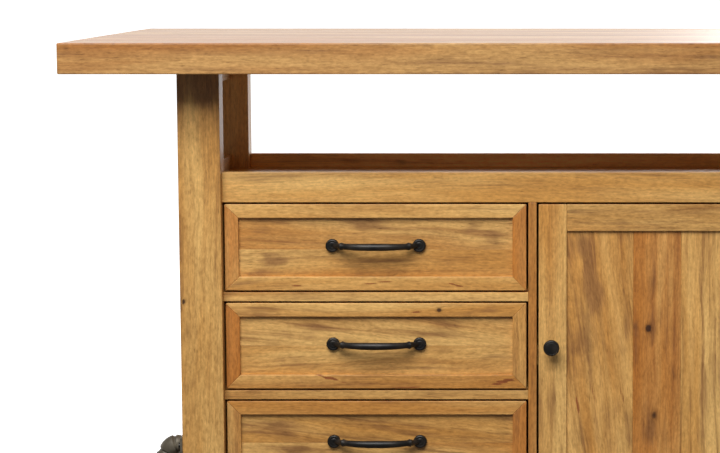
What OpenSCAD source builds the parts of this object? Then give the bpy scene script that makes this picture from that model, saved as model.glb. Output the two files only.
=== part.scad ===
// Kitchen island cart: a thick overhanging slab on four posts, an open tray bay,
// a column of three drawers, a cupboard, end foot rails and swivel casters.
// Millimetres. +Z up, +X to the right, the drawers and the door face -Y.
// The origin is on the floor under the centre of the slab.

/* [Slab] */
// Length of the slab, along X
slab_l = 1524; // [1400:1:1900]
// Depth of the slab, along Y
slab_d = 914; // [760:1:1100]
// Thickness of the slab
slab_t = 50; // [30:1:70]
// Height of the working surface above the floor
total_h = 914; // [860:1:1100]
// Overhang of the slab in front of the posts
overhang_f = 100; // [60:1:160]

/* [Body] */
// Width over the posts
body_w = 1172; // [976:1:1410]
// Depth over the posts
body_d = 436; // [380:1:560]
// Width of a post, along X
post_w = 70; // [60:1:90]
// Depth of a post, along Y
post_d = 46; // [42:1:60]
// Clear height of the open bay, from the top rails to the slab
bay_h = 168; // [120:1:260]
// Height of the top and bottom rails
rail_h = 50; // [40:1:70]
// Thickness of the front rails
rail_t = 21; // [18:1:22]
// Distance from the front of the posts to the face of the rails
face_setback = 18; // [16:1:28]
// Thickness of the rear and end rails
back_rail_t = 18; // [16:1:22]
// Distance from the outer faces of the posts to the end rails
end_setback = 20; // [10:1:26]
// Width of the divider between the drawers and the door
divider_w = 14; // [14:1:40]
// Height of the rails between the drawers
mid_rail_h = 15; // [12:1:24]
// Depth of the tray below the top of the rails
tray_recess = 24; // [10:1:40]
// Thickness of the tray, bottom board and shelf
board_t = 18; // [12:1:22]
// Thickness of the end and back panels
panel_t = 8; // [6:1:10]

/* [Drawers and door] */
// Gap round each drawer front and the door
reveal = 3.2; // [2.8:0.1:4]
// Height of a drawer front
drawer_h = 144.6; // [120:0.1:150]
// Thickness of the drawer fronts and the door
front_t = 20; // [16:0.1:21]
// Width of the mitred frame on a drawer front
frame_w = 23; // [18:1:34]
// Depth of a drawer panel behind its frame
panel_recess = 7; // [4:1:9]
// Thickness of the drawer sides
side_t = 12; // [9:1:15]
// Height of the drawer sides
side_h = 112; // [80:1:116]
// Length of a drawer box behind its front
box_l = 342; // [260:1:345]
// Thickness of a drawer bottom
bottom_t = 6; // [4:1:8]
// Width of the door stiles
stile_w = 47; // [36:1:60]
// Height of the door rails
door_rail_h = 45; // [36:1:60]
// Height of the shelf's underside above the bottom board
shelf_z = 220; // [120:1:300]

/* [Iron fittings] */
// Distance between the two ends of a drawer pull
pull_ctc = 145; // [96:1:200]
// Radius of the round ends of a pull
rosette_r = 11.2; // [8:0.1:14]
// Radius of a pull's bar
bar_r = 4.2; // [3:0.1:6]
// Projection of a pull's bar from the panel
pull_out = 35; // [22:1:40]
// Radius of the door knob
knob_r = 13.5; // [10:0.1:18]
// Projection of the door knob
knob_out = 26; // [20:1:34]
// Height of the foot rails above the floor
foot_rail_z = 105; // [98:1:150]
// Distance from the posts to the centre of a foot rail
foot_rail_out = 80; // [60:1:120]
// Radius of a foot rail
foot_rail_r = 12; // [10:0.5:14]

/* [Casters] */
// Overall height of a caster
caster_h = 100; // [90:1:112]
// Radius of a caster's wheel
wheel_r = 37.5; // [30:0.5:40]
// Width of a caster's wheel
wheel_w = 24; // [18:1:26]
// Distance from the swivel pin to the axle
caster_trail = 24; // [18:1:30]

/* [Hidden] */
$fn = 48;
eps = 1;              // how far a cutting tool runs past the face that it opens

// Fits
fit_gap = 0.1;        // wood in a mortise or a groove, on each side
glue_gap = 0.2;       // between the glued members of one frame or box
pin_gap = 0.05;       // round a screw, bolt, pin or axle, on the radius
slide_gap = 0.3;      // between a drawer and its runners

// Joinery
tenon_l = 24;         // length of a rail's tenon into a post
tenon_t = 8;          // thickness of a tenon
shoulder = 12;        // height of the shoulder above and below a rail's tenon
mid_shoulder = 3;     // the same on the thin rails between the drawers
stile_tenon_l = 14;   // length of a stile's tenon into a rail
end_tenon_l = 18;     // length of an end rail's tenon into a post
groove = 8;           // depth of a panel's groove

// Heights
slab_z = total_h - slab_t;
rails_top = slab_z - bay_h;
opening_top = rails_top - rail_h;
drawer_pitch = drawer_h + mid_rail_h + 2 * reveal;
opening_bottom = opening_top - 3 * drawer_pitch + mid_rail_h;
rails_bottom = opening_bottom - rail_h;
tray_z = rails_top - tray_recess;
door_z0 = opening_bottom + reveal;
door_z1 = opening_top - reveal;

// Widths and depths
body_x = body_w / 2;
inner_x = body_x - post_w;
front_y = -slab_d / 2 + overhang_f;
back_y = front_y + body_d;
post_back_y = front_y + post_d;
rear_post_y = back_y - post_d;
face_y = front_y + face_setback;
face_back_y = face_y + rail_t;
rear_rail_setback = 4;
rear_rail_y1 = back_y - rear_rail_setback;
rear_rail_y0 = rear_rail_y1 - back_rail_t;
end_x1 = body_x - end_setback;
end_x0 = end_x1 - back_rail_t;
end_panel_x = (end_x0 + end_x1) / 2;
back_panel_y = (rear_rail_y0 + rear_rail_y1) / 2;
half_divider = divider_w / 2;
rear_stile_w = 60;

// Drawer fronts and boxes
drawer_x0 = -inner_x + reveal;
drawer_x1 = -half_divider - reveal;
drawer_cx = (drawer_x0 + drawer_x1) / 2;
front_back_y = face_y + front_t;
drawer_panel_t = 7;
panel_lip = 6;
box_side_gap = 4;     // between a drawer's sides and the edges of its front
box_x0 = drawer_x0 + box_side_gap;
box_x1 = drawer_x1 - box_side_gap;
box_back_y = front_back_y + box_l;
bottom_groove = 5;    // depth of the groove that holds a drawer's bottom
bottom_lift = 8;      // height of that groove above the edge of the sides
runner_w = 22;
runner_h = 18;

// Shelf
shelf_bottom = opening_bottom + shelf_z;
shelf_front_gap = 8;  // between the shelf and the back of the front rails
cleat = 16;

// Door
door_x0 = half_divider + reveal;
door_x1 = inner_x - reveal;
door_panel_t = 9;
door_panel_recess = 5;
door_board_shares = [0, 0.272, 0.468, 0.72, 1]; // where the panel's glued boards meet
knob_x = door_x0 + stile_w * 0.45;
knob_z = (door_z0 + door_z1) / 2;
stud_r = 2;

// Hinges
hinge_l = 60;
hinge_inset = 55;     // from the door's end to the hinge
leaf_t = 1.2;
knuckle_r = 3.2;
hinge_pin_r = 1.5;
knuckle_gap = 0.3;
hinge_x = inner_x - 3.8;
hinge_y = face_y - knuckle_r - 0.4;
leaf_l = 16;
hinge_zs = [door_z0 + hinge_inset, door_z1 - hinge_inset - hinge_l];

// Fasteners
screw_r = 2.4;
screw_head_r = 4.4;
screw_head_h = 2.6;
screw_l = 27;
bolt_r = 2;
bolt_head_r = 4.2;
bolt_head_h = 2.8;

// Battens under the slab
batten_h = 30;
batten_bore = 14;     // depth of the counterbore that takes a screw's head
batten_screw_ys = [for (k = [1:3]) post_back_y + k * (rear_post_y - post_back_y) / 4];

// Foot rails
arm_z = foot_rail_z + 133;
arm_ys = [front_y + post_d / 2, back_y - post_d / 2];
flange_w = 45;
flange_h = 28;
flange_t = 4;
elbow_x = 22;         // from the post to the middle of an arm's elbow
elbow_r = 16;
flange_screw = 17.5;  // from the centre of a flange to its screws
collar_r = foot_rail_r + 5;
ball_r = foot_rail_r + 7;

// Casters
plate_x = 66;
plate_y = 42;
plate_t = 3;
plate_screw_x = 26;
plate_screw_y = 14;
swivel_r = 17;
kingpin_r = 5;
race_h = 8;
fork_t = 3;
crown_t = 4;
wheel_gap = 1.5;      // between the wheel and each fork blade
axle_r = 4;
post_bottom = caster_h;
race_z = post_bottom - plate_t - race_h;
crown_z = race_z - 1 - crown_t;
caster_x = body_x - post_w / 2;
CASTERS = [
    [-caster_x, arm_ys[0]], [caster_x, arm_ys[0]],
    [-caster_x, arm_ys[1]], [caster_x, arm_ys[1]]
];

WOOD = "#c08a4c";
WOOD_PALE = "#cfa061";
WOOD_DARK = "#a87542";
IRON = "#2b2927";

// A block from its lowest corner to its highest one
module block(lo, hi) {
    translate(lo) cube([hi[0] - lo[0], hi[1] - lo[1], hi[2] - lo[2]]);
}

// A cylinder from one point to another along Y
module rod_y(x, y0, y1, z, r) {
    translate([x, y0, z]) rotate([-90, 0, 0]) cylinder(r = r, h = y1 - y0);
}

// Runs its children on the left and, mirrored, on the right
module both_ends() {
    children();
    mirror([1, 0, 0]) children();
}

// ---- Fasteners ----

// A round-headed screw standing on the origin with its point up, grown for a hole
module screw(grow = 0, head = true) {
    cylinder(r = screw_r + grow, h = screw_l + grow);
    if (head) translate([0, 0, -screw_head_h]) cylinder(r = screw_head_r, h = screw_head_h);
}

// Puts its children at every screw of a caster plate
module at_caster_screws() {
    for (c = CASTERS, sx = [-1, 1], sy = [-1, 1])
        translate([c[0] + sx * plate_screw_x, c[1] + sy * plate_screw_y, post_bottom - plate_t])
            children();
}

// Puts its children at every screw of the left foot rail's flanges
module at_left_flange_screws() {
    for (y = arm_ys, s = [-1, 1])
        translate([-body_x - flange_t, y + s * flange_screw, arm_z])
            rotate([0, 90, 0]) children();
}

// Puts its children at every screw through the battens into the slab
module at_batten_screws() {
    for (x = [-end_panel_x, end_panel_x], y = batten_screw_ys)
        translate([x, y, slab_z - batten_h + batten_bore]) children();
}

module wood_screws() {
    color(IRON) {
        at_caster_screws() screw();
        at_batten_screws() screw();
        both_ends() at_left_flange_screws() screw();
    }
}

// ---- Slab ----

module top_slab() {
    color(WOOD_PALE) difference() {
        block([-slab_l / 2, -slab_d / 2, slab_z], [slab_l / 2, slab_d / 2, total_h]);
        at_batten_screws() screw(pin_gap, false);
    }
}

module top_battens() {
    color(WOOD_DARK) difference() {
        both_ends() block([-end_x1, post_back_y, slab_z - batten_h], [-end_x0, rear_post_y, slab_z]);
        at_batten_screws() screw(pin_gap, false);
        at_batten_screws() translate([0, 0, -batten_bore - eps])
            cylinder(r = screw_head_r + 0.6, h = batten_bore + eps);
    }
}

// ---- Rails ----

// A front or rear rail with a tenon at each end
module long_rail(y0, y1, z0) {
    mid = (y0 + y1) / 2;
    block([-inner_x, y0, z0], [inner_x, y1, z0 + rail_h]);
    block([-inner_x - tenon_l, mid - tenon_t / 2, z0 + shoulder],
          [inner_x + tenon_l, mid + tenon_t / 2, z0 + rail_h - shoulder]);
}

// The mortises for one long rail, in the posts
module long_rail_mortises(y0, y1, z0) {
    mid = (y0 + y1) / 2;
    block([-inner_x - tenon_l - fit_gap, mid - tenon_t / 2 - fit_gap, z0 + shoulder - fit_gap],
          [inner_x + tenon_l + fit_gap, mid + tenon_t / 2 + fit_gap, z0 + rail_h - shoulder + fit_gap]);
}

// A left end rail with a tenon at each end
module end_rail(z0) {
    block([-end_x1, post_back_y, z0], [-end_x0, rear_post_y, z0 + rail_h]);
    block([-end_panel_x - tenon_t / 2, post_back_y - end_tenon_l, z0 + shoulder],
          [-end_panel_x + tenon_t / 2, rear_post_y + end_tenon_l, z0 + rail_h - shoulder]);
}

module end_rail_mortises(z0) {
    block([-end_panel_x - tenon_t / 2 - fit_gap, post_back_y - end_tenon_l - fit_gap,
           z0 + shoulder - fit_gap],
          [-end_panel_x + tenon_t / 2 + fit_gap, rear_post_y + end_tenon_l + fit_gap,
           z0 + rail_h - shoulder + fit_gap]);
}

// The tenons of the divider stile, grown for their mortises
module divider_tenons(grow = 0) {
    mid = (face_y + face_back_y) / 2;
    block([-half_divider + 3 - grow, mid - tenon_t / 2 - grow, opening_bottom - stile_tenon_l - grow],
          [half_divider - 3 + grow, mid + tenon_t / 2 + grow, opening_top + stile_tenon_l + grow]);
}

// The tenons of the rear stile, grown for their mortises
module rear_stile_tenons(grow = 0) {
    block([-rear_stile_w / 2 + shoulder - grow, back_panel_y - tenon_t / 2 - grow,
           opening_bottom - stile_tenon_l - grow],
          [rear_stile_w / 2 - shoulder + grow, back_panel_y + tenon_t / 2 + grow,
           opening_top + stile_tenon_l + grow]);
}

// The left end panel, grown for its grooves
module end_panel(grow = 0) {
    block([-end_panel_x - panel_t / 2 - grow, post_back_y - groove - grow, opening_bottom - groove - grow],
          [-end_panel_x + panel_t / 2 + grow, rear_post_y + groove + grow, opening_top + groove + grow]);
}

// The left back panel, grown for its grooves
module back_panel(grow = 0) {
    block([-inner_x - groove - grow, back_panel_y - panel_t / 2 - grow, opening_bottom - groove - grow],
          [-rear_stile_w / 2 + groove + grow, back_panel_y + panel_t / 2 + grow,
           opening_top + groove + grow]);
}

module front_rail(z0) {
    color(WOOD_PALE) difference() {
        long_rail(face_y, face_back_y, z0);
        divider_tenons(fit_gap);
    }
}

module rear_rail(z0) {
    color(WOOD) difference() {
        long_rail(rear_rail_y0, rear_rail_y1, z0);
        both_ends() back_panel(fit_gap);
        rear_stile_tenons(fit_gap);
    }
}

module left_end_rails() {
    color(WOOD) difference() {
        for (z = [rails_bottom, opening_top]) end_rail(z);
        end_panel(fit_gap);
    }
}

module end_panels() { color(WOOD_DARK) both_ends() end_panel(); }

module back_panels() { color(WOOD_DARK) both_ends() back_panel(); }

module rear_stile() {
    color(WOOD) {
        difference() {
            block([-rear_stile_w / 2, rear_rail_y0, opening_bottom],
                  [rear_stile_w / 2, rear_rail_y1, opening_top]);
            both_ends() back_panel(fit_gap);
        }
        rear_stile_tenons();
    }
}

module divider_stile() {
    color(WOOD_DARK) {
        block([-half_divider, face_y, opening_bottom], [half_divider, face_back_y, opening_top]);
        divider_tenons();
    }
}

// ---- Posts ----

// One left post, front or rear, with its mortises, grooves and screw holes
module left_post(y0) {
    color(WOOD) difference() {
        block([-body_x, y0, post_bottom], [-inner_x, y0 + post_d, slab_z]);
        for (z = [rails_bottom, opening_top]) {
            long_rail_mortises(face_y, face_back_y, z);
            long_rail_mortises(rear_rail_y0, rear_rail_y1, z);
            end_rail_mortises(z);
        }
        end_panel(fit_gap);
        back_panel(fit_gap);
        mid_rail_tenons(fit_gap);
        at_caster_screws() screw(pin_gap, false);
        at_left_flange_screws() screw(pin_gap, false);
    }
}

// One right post: the same as the left one but for its hinge side, where no drawer rail comes
module right_post(y0) {
    color(WOOD) difference() {
        block([inner_x, y0, post_bottom], [body_x, y0 + post_d, slab_z]);
        for (z = [rails_bottom, opening_top]) {
            long_rail_mortises(face_y, face_back_y, z);
            long_rail_mortises(rear_rail_y0, rear_rail_y1, z);
            mirror([1, 0, 0]) end_rail_mortises(z);
        }
        mirror([1, 0, 0]) {
            end_panel(fit_gap);
            back_panel(fit_gap);
            at_left_flange_screws() screw(pin_gap, false);
        }
        at_caster_screws() screw(pin_gap, false);
    }
}

// ---- Boards inside ----

// The room that the posts take out of the wide boards
module post_notches() {
    both_ends() {
        block([-body_x, rear_post_y - fit_gap, 0], [-inner_x + fit_gap, back_y, slab_z]);
        block([-body_x, front_y, 0], [-inner_x + fit_gap, post_back_y, slab_z]);
    }
}

module wide_board(z0) {
    color(WOOD) difference() {
        block([-end_x0, face_back_y, z0], [end_x0, rear_rail_y0, z0 + board_t]);
        post_notches();
    }
}

module tray_board() { wide_board(tray_z - board_t); }

module bottom_board() { wide_board(opening_bottom - board_t); }

module partition() {
    color(WOOD_DARK)
        block([-half_divider, face_back_y, opening_bottom], [half_divider, rear_rail_y0, tray_z - board_t]);
}

module shelf() {
    color(WOOD) difference() {
        block([half_divider + fit_gap, face_back_y + shelf_front_gap, shelf_bottom],
              [end_x0 - fit_gap, rear_rail_y0 - fit_gap, shelf_bottom + board_t]);
        post_notches();
    }
}

module shelf_cleats() {
    color(WOOD_DARK) {
        block([half_divider, face_back_y + shelf_front_gap, shelf_bottom - cleat],
              [half_divider + cleat, rear_post_y, shelf_bottom]);
        block([end_panel_x - panel_t / 2 - cleat, post_back_y, shelf_bottom - cleat],
              [end_panel_x - panel_t / 2, rear_post_y, shelf_bottom]);
    }
}

// ---- Drawers ----

// The bottom edge of drawer k's front, counted from the top
function drawer_z(k) = opening_top - reveal - drawer_h - (k - 1) * drawer_pitch;

module mid_rail_tenons(grow = 0) {
    mid = (face_y + face_back_y) / 2;
    for (k = [1, 2])
        block([-inner_x - tenon_l - grow, mid - tenon_t / 2 - grow,
               drawer_z(k) - reveal - mid_rail_h + mid_shoulder - grow],
              [-inner_x + eps, mid + tenon_t / 2 + grow, drawer_z(k) - reveal - mid_shoulder + grow]);
}

module drawer_rails() {
    color(WOOD_PALE) {
        for (k = [1, 2])
            block([-inner_x, face_y, drawer_z(k) - reveal - mid_rail_h],
                  [-half_divider, face_back_y, drawer_z(k) - reveal]);
        mid_rail_tenons();
    }
}

// Two runners for each drawer; the lowest pair lies on the bottom board and is thinner
module drawer_runners() {
    color(WOOD_DARK) for (k = [1:3]) {
        top = drawer_z(k) - slide_gap;
        base = max(top - runner_h, opening_bottom);
        block([-inner_x, face_back_y, base], [-inner_x + runner_w, rear_rail_y0, top]);
        block([-half_divider - runner_w, face_back_y, base], [-half_divider, rear_rail_y0, top]);
    }
}

// A mitred member along the bottom of a w by h frame, whose corner is the origin
module mitred_member(w) {
    linear_extrude(front_t)
        polygon([[glue_gap, 0], [w - glue_gap, 0], [w - frame_w - glue_gap, frame_w],
                 [frame_w + glue_gap, frame_w]]);
}

// The four mitred members of a drawer front, standing in the XZ plane
module mitred_frame(w, h) {
    translate([0, front_t, 0]) rotate([90, 0, 0]) {
        mitred_member(w);
        translate([w, h, 0]) rotate([0, 0, 180]) mitred_member(w);
        translate([w, 0, 0]) rotate([0, 0, 90]) mitred_member(h);
        translate([0, h, 0]) rotate([0, 0, -90]) mitred_member(h);
    }
}

// A drawer's panel, grown for its groove
module drawer_panel_block(k, grow = 0) {
    block([drawer_x0 + frame_w - panel_lip - grow, face_y + panel_recess - grow,
           drawer_z(k) + frame_w - panel_lip - grow],
          [drawer_x1 - frame_w + panel_lip + grow, face_y + panel_recess + drawer_panel_t + grow,
           drawer_z(k) + drawer_h - frame_w + panel_lip + grow]);
}

module drawer_frame(k) {
    color(WOOD_PALE) difference() {
        translate([drawer_x0, face_y, drawer_z(k)]) mitred_frame(drawer_x1 - drawer_x0, drawer_h);
        drawer_panel_block(k, fit_gap);
    }
}

module drawer_panel(k) {
    color(WOOD) difference() {
        drawer_panel_block(k);
        pull_bolts(k, pin_gap);
    }
}

// A drawer's box: two sides, an inner front, a back and a bottom in grooves
module drawer_box(k) {
    z0 = drawer_z(k);
    z1 = z0 + side_h;
    y0 = front_back_y;
    y1 = box_back_y;
    base = z0 + bottom_lift;
    module bottom(grow) {
        block([box_x0 + side_t - bottom_groove - grow, y0 + side_t - bottom_groove - grow, base - grow],
              [box_x1 - side_t + bottom_groove + grow, y1 - side_t + bottom_groove + grow,
               base + bottom_t + grow]);
    }
    color(WOOD_DARK) {
        difference() {
            union() {
                block([box_x0, y0, z0], [box_x0 + side_t, y1, z1]);
                block([box_x1 - side_t, y0, z0], [box_x1, y1, z1]);
                block([box_x0 + side_t + glue_gap, y0, z0], [box_x1 - side_t - glue_gap, y0 + side_t, z1]);
                block([box_x0 + side_t + glue_gap, y1 - side_t, z0],
                      [box_x1 - side_t - glue_gap, y1, z1]);
            }
            bottom(glue_gap);
            pull_bolts(k, pin_gap);
        }
        bottom(0);
    }
}

// ---- Iron pulls and knob ----

pull_face_y = face_y + panel_recess;   // the face that a pull stands on
rosette_t = 9;
pull_lift = 2.8;      // of a pull above the middle of its drawer front
bolt_end_y = pull_face_y - rosette_t + 2;
bow_foot = 3;         // how far the bar's ends are sunk in the rosettes
bow_rise = pull_out - bar_r - rosette_t + bow_foot;
bow_r = (pow(pull_ctc / 2, 2) + pow(bow_rise, 2)) / (2 * bow_rise);
bow_half = asin(pull_ctc / 2 / bow_r);

function pull_z(k) = drawer_z(k) + drawer_h / 2 + pull_lift;

// The two bolts of drawer k's pull, grown for their holes
module pull_bolts(k, grow = 0) {
    for (s = [-1, 1]) {
        x = drawer_cx + s * pull_ctc / 2;
        rod_y(x, bolt_end_y - grow, front_back_y + side_t + (grow > 0 ? eps : 0), pull_z(k), bolt_r + grow);
        if (grow == 0)
            rod_y(x, front_back_y + side_t, front_back_y + side_t + bolt_head_h, pull_z(k), bolt_head_r);
    }
}

// A round end: a stepped dome turned about Y, with its foot on the panel
module rosette() {
    rotate([90, 0, 0]) rotate_extrude()
        polygon([[0, 0], [rosette_r, 0], [rosette_r, 3], [rosette_r - 2, 5],
                 [rosette_r * 0.6, 7.5], [rosette_r * 0.45, rosette_t], [0, rosette_t]]);
}

module pull(k) {
    color(IRON) difference() {
        union() {
            for (s = [-1, 1])
                translate([drawer_cx + s * pull_ctc / 2, pull_face_y, pull_z(k)]) rosette();
            translate([drawer_cx, pull_face_y - pull_out + bar_r + bow_r, pull_z(k)])
                rotate([0, 0, -90 - bow_half])
                    rotate_extrude(angle = 2 * bow_half) translate([bow_r, 0]) circle(r = bar_r, $fn = 24);
        }
        pull_bolts(k, pin_gap);
    }
}

// ---- Door ----

// The whole panel of the door, grown for its groove
module door_panel_block(grow = 0) {
    block([door_x0 + stile_w - groove - grow, face_y + door_panel_recess - grow,
           door_z0 + door_rail_h - groove - grow],
          [door_x1 - stile_w + groove + grow, face_y + door_panel_recess + door_panel_t + grow,
           door_z1 - door_rail_h + groove + grow]);
}

module door_frame() {
    back = face_y + front_t;
    in0 = door_x0 + stile_w + glue_gap;
    in1 = door_x1 - stile_w - glue_gap;
    color(WOOD_PALE) difference() {
        union() {
            block([door_x0, face_y, door_z0], [door_x0 + stile_w, back, door_z1]);
            block([door_x1 - stile_w, face_y, door_z0], [door_x1, back, door_z1]);
            block([in0, face_y, door_z0], [in1, back, door_z0 + door_rail_h]);
            block([in0, face_y, door_z1 - door_rail_h], [in1, back, door_z1]);
        }
        door_panel_block(fit_gap);
        rod_y(knob_x, face_y - eps, back + eps, knob_z, stud_r + pin_gap);
    }
}

module door_panel() {
    x0 = door_x0 + stile_w;
    width = door_x1 - door_x0 - 2 * stile_w;
    color(WOOD) difference() {
        door_panel_block();
        for (share = [for (i = [1:len(door_board_shares) - 2]) door_board_shares[i]])
            block([x0 + share * width - glue_gap / 2, face_y, door_z0],
                  [x0 + share * width + glue_gap / 2, face_y + front_t, door_z1]);
    }
}

// The knob and its stud, with a flat head inside the door
module door_knob() {
    color(IRON) {
        translate([knob_x, face_y, knob_z]) rotate([90, 0, 0]) rotate_extrude()
            polygon([[0, 0], [8, 0], [8, 2], [5.5, 4], [5, 12], [8, 15], [knob_r - 1.5, 17], [knob_r, 20],
                     [knob_r - 1, 23], [knob_r - 5, knob_out - 0.6], [0, knob_out]]);
        rod_y(knob_x, face_y - eps, face_y + front_t, knob_z, stud_r);
        rod_y(knob_x, face_y + front_t, face_y + front_t + 2, knob_z, 5);
    }
}

// ---- Hinges and catch ----

// The height of each third of a hinge
third = hinge_l / 3;

module cabinet_hinge_leaves() {
    color(IRON) for (z = hinge_zs) {
        block([inner_x - leaf_t, face_y + 0.2, z], [inner_x, face_y + leaf_l, z + hinge_l]);
        for (k = [0, 2]) {
            translate([hinge_x, hinge_y, z + k * third]) cylinder(r = knuckle_r, h = third);
            block([inner_x - leaf_t, hinge_y, z + k * third],
                  [inner_x - leaf_t + 0.4, face_y + 0.4, z + (k + 1) * third]);
        }
        translate([hinge_x, hinge_y, z]) cylinder(r = hinge_pin_r, h = hinge_l);
    }
}

module door_hinge_leaves() {
    color(IRON) for (z = hinge_zs) difference() {
        union() {
            block([door_x1, face_y + 0.2, z], [door_x1 + leaf_t, face_y + leaf_l, z + hinge_l]);
            block([door_x1, hinge_y, z + third + knuckle_gap],
                  [door_x1 + leaf_t, face_y + 0.4, z + 2 * third - knuckle_gap]);
            translate([hinge_x, hinge_y, z + third + knuckle_gap])
                cylinder(r = knuckle_r, h = third - 2 * knuckle_gap);
        }
        translate([hinge_x, hinge_y, z - eps]) cylinder(r = hinge_pin_r + pin_gap, h = hinge_l + 2 * eps);
    }
}

catch_x = door_x0 + 8;
catch_w = 36;
catch_h = 16;
catch_t = 14;
strike_t = 1;
catch_gap = 0.4;
catch_y = max(face_back_y, front_back_y + strike_t + catch_gap);

module door_catch() {
    color(IRON) block([catch_x, catch_y, tray_z - board_t - catch_h],
                      [catch_x + catch_w, catch_y + catch_t, tray_z - board_t]);
}

module door_strike() {
    color(IRON) block([catch_x, front_back_y, door_z1 - catch_h],
                      [catch_x + catch_w, catch_y - catch_gap, door_z1 - 1]);
}

// ---- Foot rails ----

arm_x = foot_rail_out - elbow_x;
arm_drop = arm_z - foot_rail_z;
arm_len = sqrt(pow(arm_x, 2) + pow(arm_drop, 2));
arm_tilt = atan2(arm_x, -arm_drop);

// A rail on two arms, each of which leaves its flange level and turns down at an elbow
module foot_rail_left() {
    color(IRON) difference() {
        union() {
            for (y = arm_ys) {
                block([-body_x - flange_t, y - flange_w / 2, arm_z - flange_h / 2],
                      [-body_x, y + flange_w / 2, arm_z + flange_h / 2]);
                translate([-body_x - elbow_x, y, arm_z]) {
                    rotate([0, 90, 0]) cylinder(r = foot_rail_r, h = elbow_x);
                    sphere(r = elbow_r);
                    rotate([0, -arm_tilt, 0]) {
                        cylinder(r = foot_rail_r, h = arm_len);
                        for (z = [22, arm_len - 28]) translate([0, 0, z]) cylinder(r = collar_r, h = 8);
                    }
                }
                translate([-body_x - foot_rail_out, y, foot_rail_z]) sphere(r = ball_r);
            }
            rod_y(-body_x - foot_rail_out, arm_ys[0], arm_ys[1], foot_rail_z, foot_rail_r);
        }
        at_left_flange_screws() screw(pin_gap, false);
    }
}

// ---- Casters ----

module caster_plates() {
    color(IRON) difference() {
        for (c = CASTERS) translate([c[0], c[1], 0]) {
            block([-plate_x / 2, -plate_y / 2, post_bottom - plate_t],
                  [plate_x / 2, plate_y / 2, post_bottom]);
            translate([0, 0, race_z]) cylinder(r = swivel_r, h = race_h + eps);
        }
        for (c = CASTERS) translate([c[0], c[1], race_z - eps])
            cylinder(r = kingpin_r + pin_gap, h = race_h + plate_t + 2 * eps);
        at_caster_screws() screw(pin_gap, false);
    }
}

// A fork that trails towards the middle of the cart, with its kingpin and axle
module caster_fork(c) {
    blade_y = wheel_w / 2 + wheel_gap;
    side = c[0] < 0 ? 1 : -1;
    color(IRON) translate([c[0], c[1], 0]) {
        translate([0, 0, crown_z]) cylinder(r = kingpin_r, h = post_bottom - 1 - crown_z);
        translate([0, 0, crown_z]) cylinder(r = swivel_r, h = crown_t);
        for (s = [0, 1]) mirror([0, s, 0]) translate([0, blade_y + fork_t, 0]) rotate([90, 0, 0])
            linear_extrude(fork_t) {
                polygon([[-side * (swivel_r - 5), crown_z + crown_t],
                         [side * (swivel_r - 3), crown_z + crown_t],
                         [side * (caster_trail + 8), wheel_r + 2], [side * (caster_trail + 8), wheel_r - 6],
                         [side * (caster_trail - 8), wheel_r - 6]]);
                translate([side * caster_trail, wheel_r - 2]) circle(r = 9);
            }
        block([-swivel_r + 5, -blade_y - fork_t, crown_z],
              [swivel_r - 5, blade_y + fork_t, crown_z + crown_t]);
        rod_y(side * caster_trail, -blade_y - fork_t - 1.5, blade_y + fork_t + 1.5, wheel_r, axle_r);
    }
}

// A wheel with a domed tread and a thinner web
module caster_wheel(c) {
    side = c[0] < 0 ? 1 : -1;
    hw = wheel_w / 2;
    bore = axle_r + pin_gap;
    color("#3a3632") translate([c[0] + side * caster_trail, c[1], wheel_r]) rotate([90, 0, 0])
        rotate_extrude($fn = 96)
            polygon([[bore, -hw], [11, -hw], [12, -hw + 4], [wheel_r - 9, -hw + 4], [wheel_r - 8, -hw],
                     [wheel_r - 2, -hw], [wheel_r, -hw + 3], [wheel_r, hw - 3], [wheel_r - 2, hw],
                     [wheel_r - 8, hw], [wheel_r - 9, hw - 4], [12, hw - 4], [11, hw], [bore, hw]]);
}

top_slab();
top_battens();
left_post(front_y);  // post_front_left
right_post(front_y);  // post_front_right
left_post(rear_post_y);  // post_rear_left
right_post(rear_post_y);  // post_rear_right
front_rail(opening_top);  // front_top_rail
front_rail(rails_bottom);  // front_bottom_rail
rear_rail(opening_top);  // rear_top_rail
rear_rail(rails_bottom);  // rear_bottom_rail
left_end_rails();
mirror([1, 0, 0]) left_end_rails();  // right_end_rails
end_panels();
rear_stile();
back_panels();
tray_board();
bottom_board();
partition();
divider_stile();
drawer_rails();
drawer_runners();
shelf();
shelf_cleats();
door_catch();
cabinet_hinge_leaves();
caster_plates();
wood_screws();
foot_rail_left();
mirror([1, 0, 0]) foot_rail_left();  // foot_rail_right
for (k = [1:3]) {
    drawer_frame(k);
    drawer_panel(k);
    drawer_box(k);
    pull(k);
    pull_bolts(k);
}
door_frame();
door_panel();
door_knob();
door_hinge_leaves();
door_strike();
for (k = [1:4]) {
    caster_fork(CASTERS[k - 1]);
    caster_wheel(CASTERS[k - 1]);
}
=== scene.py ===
"""Looks of a wooden kitchen island cart: lacquered mango boards, black iron fittings, swivel casters.

Everything is in metres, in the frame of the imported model: +Z up, the drawers and the door face -Y.
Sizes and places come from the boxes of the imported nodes.
"""

import logging
import math
from dataclasses import dataclass, field
from enum import Enum
from functools import partial
from typing import Any, Sequence

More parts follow.
